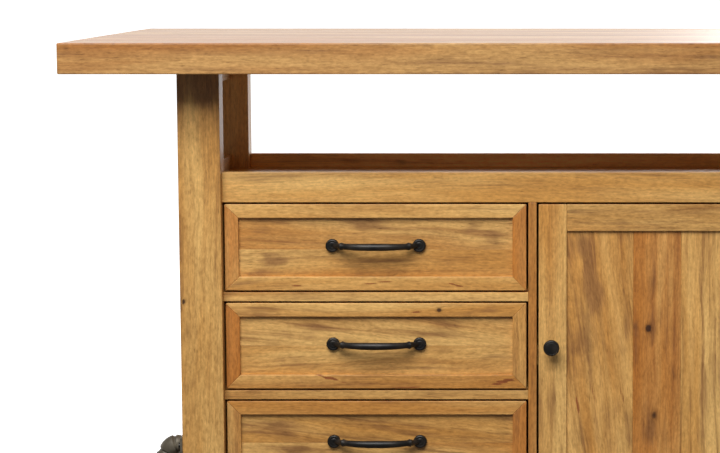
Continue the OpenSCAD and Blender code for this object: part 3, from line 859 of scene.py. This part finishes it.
@dataclass
class Carcass:
    """Posts, rails, panels and the boards inside the body."""

    finishes: Finishes
    panel_boards: int = 4

    def __post_init__(self) -> None:
        """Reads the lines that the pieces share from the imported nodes."""
        self.inner_x = float(low("post_front_right")[0])
        self.front_post_back = float(high("post_front_left")[1])
        self.rear_post_front = float(low("post_rear_left")[1])
        self.top_z = (float(low("front_top_rail")[2]), float(high("front_top_rail")[2]))
        self.bottom_z = (float(low("front_bottom_rail")[2]), float(high("front_bottom_rail")[2]))

    def add(self, name: str, parts: Sequence[Board], slot: str, *nodes: str) -> None:
        """Makes one piece of boards on the cabinet.

        Args:
            name: the piece's name.
            parts: its boards.
            slot: the record's material slot.
            nodes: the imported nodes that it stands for.
        """
        piece = boards(parts).to_object(name, self.finishes.wood)
        place_piece(piece, "cabinet", slot, *nodes)

    def posts(self) -> None:
        """The four posts, grain upright."""
        tones = {
            "post_front_left": Tone(0.93, 0.15, 0.4),
            "post_front_right": Tone(1.0, 0.2, 0.3),
            # The rear left post, in the shade under the slab, is painted lighter and less red: painted light
            # for the light that reaches it there.
            "post_rear_left": Tone(1.15, 0.1, 0.3),
            "post_rear_right": Tone(0.98, 0.3, 0.2),
        }
        # The smoke mark at the top of the front left post is painted shade: the shadow of the slab's
        # overhang.
        marks = {"post_front_left": (smoke(0.98, 0.5, 50, 45, 2.2), knot(0.50, 0.09, 7, 4))}
        for node, tone in tones.items():
            board = Board(tuple(low(node)), tuple(high(node)), Axis.Z, tone, ease=1.5 * MM,
                          marks=marks.get(node, ()))
            self.add(f"{node}_timber", [board], "frame_wood", node)

    def rails(self) -> None:
        """The long rails between the posts, and the end rails."""
        tones = {
            "front_top_rail": Tone(1.10, 0.05, 0.2),
            "front_bottom_rail": Tone(1.04, 0.2, 0.3),
            # The rear top rail is painted light: much lighter and less red, for the light that reaches it in
            # the shade under the slab.
            "rear_top_rail": Tone(1.6, 0.0, 0.3),
            "rear_bottom_rail": Tone(1.0, 0.25, 0.3),
        }
        for node, tone in tones.items():
            lo, hi = low(node), high(node)
            lo[0], hi[0] = -self.inner_x, self.inner_x
            self.add(f"{node}_timber", [Board(tuple(lo), tuple(hi), Axis.X, tone)], "frame_wood", node)
        for node in ("left_end_rails", "right_end_rails"):
            x0, x1 = low(node)[0], high(node)[0]
            parts = [
                Board((x0, self.front_post_back, z0), (x1, self.rear_post_front, z1), Axis.Y,
                      CHANCE.tone(Tone(0.98, 0.25, 0.3)))
                for z0, z1 in (self.bottom_z, self.top_z)
            ]
            self.add(f"{node}_timber", parts, "frame_wood", node)

    def stiles(self) -> None:
        """The divider in front, the rear stile and the two thin rails between the drawers."""
        z0, z1 = self.bottom_z[1], self.top_z[0]
        tones = {"divider_stile": Tone(0.90, 0.5, 0.25), "rear_stile": Tone(1.0, 0.3, 0.3)}
        for node, tone in tones.items():
            lo, hi = low(node), high(node)
            lo[2], hi[2] = z0, z1
            self.add(f"{node}_timber", [Board(tuple(lo), tuple(hi), Axis.Z, tone)], "frame_wood", node)
        divider_x = float(low("divider_stile")[0])
        y0, y1 = low("divider_stile")[1], high("divider_stile")[1]
        reveal = z1 - float(high("drawer_1_frame")[2])
        parts = []
        for upper, lower, tone in (("drawer_1_frame", "drawer_2_frame", Tone(1.06, 0.15, 0.2)),
                                   ("drawer_2_frame", "drawer_3_frame", Tone(0.9, 0.3, 0.35))):
            top = float(low(upper)[2]) - reveal
            base = float(high(lower)[2]) + reveal
            parts.append(Board((-self.inner_x, y0, base), (divider_x, y1, top), Axis.X, tone, ease=0.8 * MM))
        self.add("drawer_rails_timber", parts, "frame_wood", "drawer_rails")

    def panels(self) -> None:
        """The end panels and back panels, each of boards glued edge to edge, grain upright."""
        z0, z1 = self.bottom_z[1], self.top_z[0]
        shares = np.linspace(0, 1, self.panel_boards + 1).tolist()
        base = Tone(0.98, 0.3, 0.5)
        ends = []
        rail = low("left_end_rails")[0], high("left_end_rails")[0]
        middle = (rail[0] + rail[1]) / 2
        half = abs(float(low("end_panels")[0]) - middle)
        for x in (middle, -middle):
            tones = [CHANCE.tone(base, 0.1) for _ in shares[1:]]
            ends += split((x - half, self.front_post_back, z0), (x + half, self.rear_post_front, z1),
                          Axis.Z, Axis.Y, shares, tones)
        self.add("end_panel_boards", ends, "panel_wood", "end_panels")
        backs = []
        y0, y1 = low("back_panels")[1], high("back_panels")[1]
        stile = float(high("rear_stile")[0])
        for x0, x1 in ((-self.inner_x, -stile), (stile, self.inner_x)):
            tones = [CHANCE.tone(base, 0.1) for _ in shares[1:]]
            backs += split((x0, y0, z0), (x1, y1, z1), Axis.Z, Axis.X, shares, tones)
        self.add("back_panel_boards", backs, "panel_wood", "back_panels")

    def tray(self) -> None:
        """The tray's boards, grain lengthways; the rear one is notched round the posts."""
        lo, hi = low("tray_board"), high("tray_board")
        depth = hi[1] - lo[1]
        y = [lo[1], lo[1] + 0.34 * depth, lo[1] + 0.66 * depth, self.rear_post_front, hi[1]]
        ends = [lo[0], lo[0], lo[0], -self.inner_x]
        parts = [
            Board((x, y[i], lo[2]), (-x, y[i + 1] - 0.1 * MM, hi[2]), Axis.X,
                  CHANCE.tone(Tone(0.95, 0.25, 0.35)), ease=0.5 * MM)
            for i, x in enumerate(ends)
        ]
        self.add("tray_boards", parts, "panel_wood", "tray_board")

    def inside(self) -> None:
        """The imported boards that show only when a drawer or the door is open."""
        for node, axis in (("bottom_board", Axis.X), ("shelf", Axis.X), ("partition", Axis.Z),
                           ("shelf_cleats", Axis.Y), ("drawer_runners", Axis.Y)):
            dress(node, self.finishes.inner[axis], 0.8 * MM)

    def build(self) -> None:
        """Makes every timber of the body."""
        self.posts()
        self.rails()
        self.stiles()
        self.panels()
        self.tray()
        self.inside()


@dataclass
class IronPull:
    """A cast pull: two flat round ends with a ring, and a bar that bows out between them."""

    finishes: Finishes
    end_radius: float = 11.2 * MM
    end_height: float = 7.0 * MM
    neck: float = 4.0 * MM
    belly: float = 6.2 * MM
    bar_points: int = 61

    def end_profile(self) -> Array:
        """The round end's profile: a foot, a rounded rim, a shallow ring and a low boss.

        Returns:
            Points of (height over the wood, radius).
        """
        radius, height = self.end_radius, self.end_height
        rim = np.linspace(0, math.pi / 2, 7)
        edge = np.stack([height - 3 * MM + 3 * MM * np.sin(rim), radius - 3 * MM + 3 * MM * np.cos(rim)], 1)
        inner = np.array([[height - 0.7 * MM, radius - 4.6 * MM], [height - 0.6 * MM, radius - 5.4 * MM],
                          [height + 0.1 * MM, radius - 6.2 * MM], [height + 0.2 * MM, radius - 8.4 * MM],
                          [height - 0.4 * MM, 0.3 * MM]])
        foot = np.array([[0, 0.3 * MM], [0, radius - 0.6 * MM], [0.6 * MM, radius]])
        return np.vstack([foot, edge, inner])

    def build(self, body: str, node: str, bolts: str) -> None:
        """Makes the pull that stands for a packed one.

        The bar's middle line is half a wave of (1 - |t|^2.6), where t runs from -1 to 1 between
        the two ends, so it leaves them steeply and is nearly straight at its middle. Its radius
        swells from the neck to the belly, with a small bead where it leaves each end.

        Args:
            body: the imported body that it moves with.
            node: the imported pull.
            bolts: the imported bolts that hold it.
        """
        lo, hi = low(node), high(node)
        z = float(lo[2] + hi[2]) / 2
        face = float(hi[1])
        half = float(hi[0] - lo[0]) / 2 - self.end_radius
        centre = float(lo[0] + hi[0]) / 2
        front = float(lo[1]) + self.belly
        whole = Surface()
        profile = self.end_profile() * np.array([-1.0, 1.0])
        for x in (centre - half, centre + half):
            end = turned(profile, (x, face, z), Axis.Y)
            end.faces = [f[::-1] for f in end.faces]
            whole.add(end)
        t = np.linspace(-1, 1, self.bar_points)
        start = face - self.end_height + 3 * MM
        rise = 1 - np.abs(t) ** 2.6
        x = centre + (half - 3 * MM) * t
        path = np.stack([x, start + (front - start) * rise, np.full_like(t, z)], 1)
        bead = 1.7 * MM * np.exp(-(((np.abs(t) - 0.80) / 0.035) ** 2))
        radius = self.neck + (self.belly - self.neck) * np.cos(t * math.pi / 2) ** 0.8 + bead
        whole.add(swept(path, radius, 28))
        piece = whole.to_object(f"{node}_cast", self.finishes.iron, smooth=True)
        place_piece(piece, body, "black_iron", node)
        dress(bolts, self.finishes.steel)


@dataclass
class Drawer:
    """One drawer: a mitred frame round a sunk panel, a plain box and an iron pull.

    The frame's tones and marks are those of its bottom, top, left and right members.
    """

    finishes: Finishes
    number: int
    frame_w: float = 23 * MM
    frame_tones: tuple[Tone, Tone, Tone, Tone] = (Tone(),) * 4
    panel_tones: tuple[Tone, ...] = (Tone(),)
    panel_shares: tuple[float, ...] = (0, 1)
    slants: tuple[float, ...] = (0.0,)
    frame_marks: tuple[tuple[Mark, ...], ...] = ((),) * 4
    panel_marks: tuple[tuple[Mark, ...], ...] = ()

    def build(self) -> None:
        """Makes the drawer's front and dresses its box."""
        name = f"drawer_{self.number}"
        lo, hi = low(f"{name}_frame"), high(f"{name}_frame")
        w = self.frame_w
        corners = [
            ((lo[0], lo[1], lo[2]), (hi[0], hi[1], lo[2] + w), Axis.X, LongSide.LOW),
            ((lo[0], lo[1], hi[2] - w), (hi[0], hi[1], hi[2]), Axis.X, LongSide.HIGH),
            ((lo[0], lo[1], lo[2]), (lo[0] + w, hi[1], hi[2]), Axis.Z, LongSide.LOW),
            ((hi[0] - w, lo[1], lo[2]), (hi[0], hi[1], hi[2]), Axis.Z, LongSide.HIGH),
        ]
        members = [Board(a, b, axis, tone, side, marks=marks)
                   for (a, b, axis, side), tone, marks in zip(corners, self.frame_tones, self.frame_marks)]
        piece = boards(members).to_object(f"{name}_frame_members", self.finishes.wood)
        place_piece(piece, name, "frame_wood", f"{name}_frame")
        plo, phi = low(f"{name}_panel"), high(f"{name}_panel")
        plo[[0, 2]] = lo[[0, 2]] + w - 1 * MM
        phi[[0, 2]] = hi[[0, 2]] - w + 1 * MM
        parts = split(tuple(plo), tuple(phi), Axis.X, Axis.Z, self.panel_shares, self.panel_tones,
                      gap=0.02 * MM, ease=0.3 * MM, slants=self.slants, marks=self.panel_marks)
        piece = boards(parts).to_object(f"{name}_panel_boards", self.finishes.wood)
        place_piece(piece, name, "panel_wood", f"{name}_panel")
        dress(f"{name}_box", self.finishes.inner[Axis.Y], 0.8 * MM)
        IronPull(self.finishes).build(name, f"{name}_pull", f"{name}_pull_bolts")


@dataclass
class Door:
    """The door: two stiles, two rails, a sunk panel of four boards, a knob and its hinges."""

    finishes: Finishes
    stile_w: float = 47 * MM
    rail_h: float = 45 * MM
    board_shares: tuple[float, ...] = (0, 0.272, 0.468, 0.72, 1)
    board_tones: tuple[Tone, ...] = (Tone(1.05, 0.25, 1.0), Tone(1.0, 0.7, 0.6), Tone(1.1, 0.15, 0.7),
                                     Tone(0.98, 0.3, 0.5))
    board_marks: tuple[tuple[Mark, ...], ...] = ()
    board_slants: tuple[float, ...] = (0.0, 0.0, 0.0, 0.0)
    joint: float = 0.2 * MM

    def timber(self) -> None:
        """The stiles and rails, and the panel's boards."""
        lo, hi = low("door_frame"), high("door_frame")
        w, h = self.stile_w, self.rail_h
        x0, x1 = lo[0] + w + self.joint, hi[0] - w - self.joint
        members = [
            Board((lo[0], lo[1], lo[2]), (lo[0] + w, hi[1], hi[2]), Axis.Z, Tone(1.05, 0.2, 0.3)),
            Board((hi[0] - w, lo[1], lo[2]), (hi[0], hi[1], hi[2]), Axis.Z, Tone(1.0, 0.3, 0.3)),
            Board((x0, lo[1], lo[2]), (x1, hi[1], lo[2] + h), Axis.X, Tone(1.0, 0.2, 0.3)),
            Board((x0, lo[1], hi[2] - h), (x1, hi[1], hi[2]), Axis.X, Tone(0.86, 0.2, 0.4)),
        ]
        piece = boards(members).to_object("door_stiles_and_rails", self.finishes.wood)
        place_piece(piece, "door", "frame_wood", "door_frame")
        plo, phi = low("door_panel"), high("door_panel")
        plo[[0, 2]] = lo[0] + w, lo[2] + h - 1 * MM
        phi[[0, 2]] = hi[0] - w, hi[2] - h + 1 * MM
        parts = split(tuple(plo), tuple(phi), Axis.Z, Axis.X, self.board_shares, self.board_tones,
                      gap=0.15 * MM, ease=0.4 * MM, slants=self.board_slants, marks=self.board_marks)
        piece = boards(parts).to_object("door_panel_boards", self.finishes.wood)
        place_piece(piece, "door", "panel_wood", "door_panel")

    def knob(self) -> None:
        """A turned mushroom knob: a foot, a waist and a domed head with a shallow ring."""
        lo, hi = low("door_knob"), high("door_knob")
        face = float(low("door_frame")[1])
        out = face - float(lo[1])
        radius = float(hi[0] - lo[0]) / 2
        x, z = float(lo[0] + hi[0]) / 2, float(lo[2] + hi[2]) / 2
        along = np.array([0, 0, 0.10, 0.17, 0.30, 0.45, 0.56, 0.63, 0.70, 0.78, 0.88, 0.96, 0.98, 0.97,
                          0.99, 1.0])
        width = np.array([0.02, 0.62, 0.62, 0.46, 0.36, 0.38, 0.52, 0.80, 0.95, 1.0, 0.99, 0.91, 0.82,
                          0.76, 0.6, 0.02])
        fine = np.linspace(0, len(along) - 1, 90)
        steps = np.arange(len(along))
        heights, widths = (np.interp(fine, steps, values) for values in (along, width))
        profile = np.stack([-out * heights, radius * widths], 1)
        knob = turned(profile, (x, face, z), Axis.Y, 56)
        knob.faces = [f[::-1] for f in knob.faces]
        back = float(high("door_knob")[1])
        depth = back - face
        stud = turned(np.array([[0, 1.9 * MM], [depth - 2 * MM, 1.9 * MM], [depth - 2 * MM, 5 * MM],
                                [depth - 0.4 * MM, 5 * MM], [depth, 4.4 * MM], [depth, 0.2 * MM]]),
                      (x, face, z), Axis.Y, 24)
        piece = knob.add(stud).to_object("door_knob_cast", self.finishes.iron, smooth=True)
        place_piece(piece, "door", "black_iron", "door_knob")

    def build(self) -> None:
        """Makes the door and dresses its hinges and catch."""
        self.timber()
        self.knob()
        for node in ("cabinet_hinge_leaves", "door_hinge_leaves", "door_catch", "door_strike"):
            dress(node, self.finishes.steel)


@dataclass
class FootRail:
    """An iron rail along one end, on two arms that leave the posts level and turn down at an elbow."""

    finishes: Finishes
    side: int
    radius: float = 12 * MM
    ball: float = 19 * MM
    elbow_x: float = 22 * MM
    elbow_r: float = 16 * MM
    bend: float = 15 * MM
    band: tuple[float, float] = (4.5 * MM, 4.6 * MM)
    groove: tuple[float, float] = (1.6 * MM, -2.6 * MM)
    flange: tuple[float, float, float] = (4 * MM, 45 * MM, 28 * MM)

    def collars(self, s: Array, places: Sequence[tuple[float, float, float]]) -> Array:
        """The radius along a bar: its own, plus a rounded band at each place.

        Args:
            s: distances along the bar.
            places: each band's middle, half width and height.

        Returns:
            The radius at each distance.
        """
        radius = np.full_like(s, self.radius)
        for middle, wide, tall in places:
            radius = radius + tall * np.exp(-(((s - middle) / wide) ** 4))
        return radius

    def arm(self, start: Array, corner: Array, end: Array) -> Surface:
        """One arm: straight to near the corner, round it on a smooth bend, and on to the ball.

        The bend is the curve (1-t)^2 a + 2t(1-t) c + t^2 b, from a before the corner c to b after it.

        Args:
            start: where it leaves the post.
            corner: the middle of its elbow.
            end: the middle of its ball.

        Returns:
            The arm's surface.
        """
        first, second = corner - start, end - corner
        into = corner - first / np.linalg.norm(first) * self.bend
        out = corner + second / np.linalg.norm(second) * self.bend
        t = np.linspace(0, 1, 24)[:, None]
        bend = (1 - t) ** 2 * into + 2 * t * (1 - t) * corner + t**2 * out
        rest = np.linspace(0, 1, 70)[1:, None]
        path = np.vstack([start + t[:-1] * (into - start), bend, out + rest * (end - out)])
        s = np.concatenate([[0], np.cumsum(np.linalg.norm(np.diff(path, axis=0), axis=1))])
        middle = self.elbow_x - 1 * MM
        bands = [(middle, 17 * MM, self.elbow_r - self.radius), (middle - 9 * MM, *self.groove),
                 (middle + 12 * MM, *self.groove), (middle + 23 * MM, 5.5 * MM, 4.6 * MM),
                 (s[-1] - 24 * MM, *self.band)]
        return swept(path, self.collars(s, bands), 40)

    def build(self) -> None:
        """Makes the rail, with its arms, balls and flanges."""
        node = "foot_rail_left" if self.side < 0 else "foot_rail_right"
        lo, hi = low(node), high(node)
        post = float(high("post_front_right")[0])
        rail_x = max(abs(float(lo[0])), abs(float(hi[0]))) - self.ball
        rail_z = float(lo[2]) + self.ball
        arm_z = float(hi[2]) - self.elbow_r
        ys = [float(low(name)[1] + high(name)[1]) / 2 for name in ("post_front_left", "post_rear_left")]
        thick, wide, tall = self.flange
        whole = Surface()
        for y in ys:
            end = np.array([rail_x, y, rail_z])
            start, corner = np.array([post + 1 * MM, y, arm_z]), np.array([post + self.elbow_x, y, arm_z])
            whole.add(self.arm(start, corner, end))
            angle = np.linspace(0.02, math.pi - 0.02, 25)
            globe = np.stack([-self.ball * np.cos(angle), self.ball * np.sin(angle)], 1)
            whole.add(turned(globe, tuple(end), Axis.Y, 48))
            plate = Board((post, y - wide / 2, arm_z - tall / 2),
                          (post + thick, y + wide / 2, arm_z + tall / 2), Axis.Y)
            whole.add(plate.surface())
        t = np.linspace(0, 1, 120)
        path = np.stack([np.full_like(t, rail_x), ys[0] + t * (ys[1] - ys[0]), np.full_like(t, rail_z)], 1)
        s = t * (ys[1] - ys[0])
        bands = [(28 * MM, *self.band), (s[-1] - 28 * MM, *self.band)]
        whole.add(swept(path, self.collars(s, bands), 40))
        if self.side < 0:
            whole.verts = whole.verts * np.array([-1.0, 1.0, 1.0])
            whole.faces = [f[::-1] for f in whole.faces]
        # Its pale grey is a painted sheen.
        piece = whole.to_object(f"{node}_cast", self.finishes.iron_with_painted_sheen, smooth=True)
        place_piece(piece, "cabinet", "waxed_iron", node)


@dataclass
class Caster:
    """A swivel caster: a dressed fork, and a wheel made of a rubber tyre on a steel hub."""

    finishes: Finishes
    number: int
    bore: float = 4.05 * MM

    def build(self) -> None:
        """Makes the wheel and dresses the fork."""
        node = f"caster_wheel_{self.number}"
        lo, hi = low(node), high(node)
        centre = tuple((lo + hi) / 2)
        radius, half = float(hi[2] - lo[2]) / 2, float(hi[1] - lo[1]) / 2
        crown = np.linspace(-1, 1, 13)
        tread = np.stack([crown * (half - 2 * MM), radius - 2.2 * MM * np.abs(crown) ** 4], 1)
        seat = radius - 9.5 * MM
        wall = [[half - 0.6 * MM, radius - 4 * MM], [half, radius - 6 * MM], [half - 1 * MM, seat]]
        other_wall = [[-x, r] for x, r in wall[::-1]]
        tyre = np.vstack([tread, wall, [[0, seat]], other_wall])
        rim = radius - 9.2 * MM
        flank = [[half - 2.5 * MM, rim], [half - 2.5 * MM, rim - 2 * MM], [half - 4.5 * MM, rim - 3 * MM],
                 [half - 4.5 * MM, 12 * MM], [half - 1.5 * MM, 11 * MM], [half, 10 * MM], [half, self.bore]]
        hub = np.array([[-x, r] for x, r in flank[::-1]] + flank)
        body = f"wheel_{self.number}"
        ring = turned_ring(tyre[::-1], centre, Axis.Y)
        piece = ring.to_object(f"{node}_tyre", self.finishes.rubber, smooth=True)
        place_piece(piece, body, "wheel_rubber", node)
        piece = turned_ring(hub, centre, Axis.Y).to_object(f"{node}_hub", self.finishes.steel, smooth=True)
        place_piece(piece, body, "black_steel")
        dress(f"caster_fork_{self.number}", self.finishes.steel, 0.4 * MM)


# ---------------------------------------------------------------- studio


@dataclass
class Studio:
    """A pale floor, soft light and the camera.

    eye, pitch: where the camera stands, and how far it looks down, in degrees.
    lens, film: its focal length and the width of its film, in millimetres.
    shift: how far the film is moved sideways, as a share of its width.
    dim, backdrop: the light of the studio, and what the backdrop adds to it.
    key, rear: each lamp's place, aim, size and power.
    """

    eye: Vec = (0.0, -4.19266, 1.03336)
    pitch: float = 6.3307
    lens: float = 116.5
    film: float = 36.0
    shift: float = -0.2395833
    dim: float = 0.15
    backdrop: float = 1.25
    floor_side: float = 600.0
    key: tuple[Vec, Vec, tuple[float, float], float] = (
        (-0.7, -2.5, 2.95), (-0.2, -0.3, 0.45), (2.4, 2.1), 138.0)
    rear: tuple[Vec, Vec, tuple[float, float], float] = ((1.4, 3.0, 2.2), (0, 0.4, 0.5), (2.0, 1.5), 40.0)

    def camera(self) -> None:
        """A level-sided view from in front, shifted so that the left half of the cart fills it."""
        data = bpy.data.cameras.new("camera")
        data.sensor_width = self.film
        data.lens = self.lens
        data.shift_x = self.shift
        data.clip_end = 3000
        camera = bpy.data.objects.new("camera", data)
        camera.location = self.eye
        camera.rotation_euler = (math.radians(90 - self.pitch), 0, 0)
        bpy.context.scene.collection.objects.link(camera)
        bpy.context.scene.camera = camera

    def lamp(self, name: str, place: Vec, aim: Vec, size: tuple[float, float], power: float) -> None:
        """One soft white rectangular light.

        Args:
            name: its name.
            place: where it stands.
            aim: the point that it faces.
            size: its two sides, in metres.
            power: its power, in watts.
        """
        data = bpy.data.lights.new(name, "AREA")
        data.shape = "RECTANGLE"
        data.size, data.size_y = size
        data.energy = power
        lamp = bpy.data.objects.new(name, data)
        lamp.location = place
        lamp.rotation_euler = (Vector(aim) - Vector(place)).to_track_quat("-Z", "Y").to_euler()
        bpy.context.scene.collection.objects.link(lamp)

    def floor(self) -> None:
        """A wide white floor that glows, so that it stays white to its far edge; round the cart its glow is
        weaker, a painted shade.

        It throws no light back at the cart, which is lit as if it stood in a dim studio.
        """
        r = Recipe("white_studio_floor")
        place = add_node(r.tree, "TexCoord").outputs["Object"]
        reach = add_node(r.tree, "VectorMath", (place,), operation="LENGTH").outputs["Value"]
        # The glow drops to 0.55 within 0.65 m of the middle: a painted shade round the cart.
        glow_with_painted_shade = add_node(r.tree, "MapRange", (reach, 0.65, 1.0, 0.55, 1.0), **SMOOTH)
        material = r.finish(Base_Color=(0.9, 0.9, 0.9, 1), Roughness=0.9, Emission_Color=(1, 1, 1, 1),
                            Emission_Strength=glow_with_painted_shade)
        mesh = bpy.data.meshes.new("floor")
        side = self.floor_side
        mesh.from_pydata([(-side, -side, 0), (side, -side, 0), (side, side, 0), (-side, side, 0)], [],
                         [(0, 1, 2, 3)])
        mesh.materials.append(material)
        floor = bpy.data.objects.new("floor", mesh)
        bpy.context.scene.collection.objects.link(floor)
        floor.visible_diffuse = False
        floor.visible_glossy = False

    def sky(self) -> None:
        """A dim studio in front and overhead, and a white backdrop behind, low over the floor."""
        world = bpy.data.worlds.new("studio")
        world.use_nodes = True
        tree = world.node_tree
        ray = add_node(tree, "TexCoord").outputs["Generated"]
        parts = add_node(tree, "SeparateXYZ", (ray,)).outputs
        behind = add_node(tree, "MapRange", {0: parts[1], 1: -0.1, 2: 0.3}, **SMOOTH)
        height = add_node(tree, "Math", (parts[2],), operation="ABSOLUTE")
        lowness = add_node(tree, "MapRange", {0: height, 1: 0.6, 2: 0.3}, **SMOOTH)
        both = add_node(tree, "Math", (behind, lowness), **TIMES)
        level = add_node(tree, "Math", (both, self.backdrop, self.dim), **TIMES_PLUS).outputs[0]
        background = tree.nodes["Background"]
        background.inputs[0].default_value = (1, 1, 1, 1)
        tree.links.new(level, background.inputs[1])
        bpy.context.scene.world = world

    def build(self) -> None:
        """Sets the studio up."""
        scene = bpy.context.scene
        scene.view_settings.view_transform = "Standard"
        self.camera()
        self.floor()
        self.sky()
        self.lamp("key", *self.key)
        self.lamp("rear", *self.rear)


def drawers(finishes: Finishes) -> list[Drawer]:
    """The three drawers, from the top, each with the boards and marks of its own front.

    Args:
        finishes: the cart's finishes.

    Returns:
        The drawers, not yet built.
    """
    pale, tan, amber = Tone(1.06, 0.15, 0.2), Tone(1.0, 0.3, 0.3), Tone(1.03, 0.75, 0.3)
    upper = Drawer(
        finishes, 1, frame_tones=(pale, pale, amber, amber), panel_shares=(0, 0.46, 1),
        panel_tones=(Tone(0.98, 0.15, 0.35), Tone(0.95, 0.4, 0.5)), slants=(0.0, 0.05),
        frame_marks=((streaks(0.50, 0.55, 50, 2.6, 1.5, 0.10), streaks(0.76, 0.45, 22, 2.2, 1.4, -0.25),
                      streaks(0.24, 0.35, 16, 2, 1.2, -0.1), smoke(0.94, 0.75, 12, 7, 1.3)), (), (), ()),
        panel_marks=((smoke(0.13, 0.60, 22, 10, 1.5), smoke(0.07, 0.2, 20, 9, 1.1),
                      # On the lower panel board, the long narrow smoke patch under the pull, at 0.52 along,
                      # is partly a wood patch and partly a painted shadow of the pull.
                      smoke(0.52, 0.6, 45, 9), smoke(0.8, 0.5, 40, 7, 0.5)),
                     (smoke(0.09, 0.65, 32, 14, 1.3), smoke(0.45, 0.75, 28, 14, 1.4),
                      smoke(0.85, 0.70, 18, 14), smoke(0.93, 0.4, 18, 18, 1.2))))
    middle = Drawer(
        finishes, 2, frame_tones=(tan, pale, amber, tan), panel_shares=(0, 0.5, 1),
        panel_tones=(Tone(0.98, 0.2, 0.45), Tone(0.98, 0.3, 0.5)), slants=(-0.04, 0.12),
        frame_marks=((streaks(0.34, 0.8, 25, 2.4, 1.4, -0.25), streaks(0.92, 0.5, 28, 3, 1.5, 0.3),
                      streaks(0.60, 0.12, 60, 2, 1.2)),
                     (knot(0.71, 0.5, 6, 5), streaks(0.64, 0.4, 30, 3, 1.1, 0.3),
                      smoke(0.88, 0.5, 18, 5, 1.1)), (), ()),
        panel_marks=((smoke(0.2, 0.4, 40, 12), smoke(0.7, 0.3, 30, 12)),
                     (smoke(0.3, 0.6, 40, 12), smoke(0.75, 0.3, 40, 9, 0.8))))
    lower = Drawer(
        finishes, 3, frame_tones=(tan, tan, tan, amber), panel_shares=(0, 0.5, 1),
        panel_tones=(Tone(0.96, 0.3, 0.6), Tone(0.96, 0.1, 0.7)), slants=(0.05, 0.08),
        panel_marks=((smoke(0.2, 0.6, 50, 14, 1.2), smoke(0.6, 0.4, 40, 12, 0.9)),
                     (smoke(0.15, 0.5, 40, 16, 1.3), smoke(0.7, 0.7, 45, 9, 0.9))))
    return [upper, middle, lower]


def door(finishes: Finishes) -> Door:
    """The door, with the marks of its panel's boards, from the knob's side.

    Args:
        finishes: the cart's finishes.

    Returns:
        The door, not yet built.
    """
    burl = (smoke(0.93, 0.25, 26, 26, 1.1), smoke(0.82, 0.32, 24, 12, 1.8), smoke(0.72, 0.42, 30, 14, 2.2),
            smoke(0.50, 0.2, 40, 22), smoke(0.55, 0.85, 40, 16, 0.8), smoke(0.15, 0.6, 60, 34, 0.8),
            streaks(0.26, 0.45, 50, 6, 1.0, -0.35), streaks(0.25, 0.15, 40, 6, 0.8, -0.35),
            streaks(0.30, 0.82, 40, 5, 1.1, -0.25))
    knotted = (knot(0.575, 0.32, 9, 7), knot(0.195, 0.45, 12, 8, 0.75), smoke(0.60, 0.5, 40, 12, 0.9),
               smoke(0.12, 0.4, 30, 18, 0.9))
    golden = (smoke(0.10, 0.3, 50, 16, 1.2), smoke(0.93, 0.8, 30, 12, 0.9), smoke(0.30, 0.35, 40, 8, 0.8))
    brown = (smoke(0.6, 0.5, 70, 14, 0.9), knot(0.33, 0.6, 8, 5, 0.9))
    return Door(finishes, board_marks=(burl, knotted, golden, brown), board_slants=(0.12, 0.0, 0.0, 0.05))


def main() -> None:
    """Builds the cart's looks piece by piece."""
    logging.basicConfig(level=logging.INFO, format="%(name)s: %(message)s")
    Studio().build()
    finishes = Finishes()
    SlabTop(finishes).build()
    Carcass(finishes).build()
    for drawer in drawers(finishes):
        drawer.build()
    door(finishes).build()
    for side in (-1, 1):
        FootRail(finishes, side).build()
    for number in range(1, 5):
        Caster(finishes, number).build()
    for node in ("caster_plates", "wood_screws"):
        dress(node, finishes.steel)


if __name__ == "__main__":
    main()
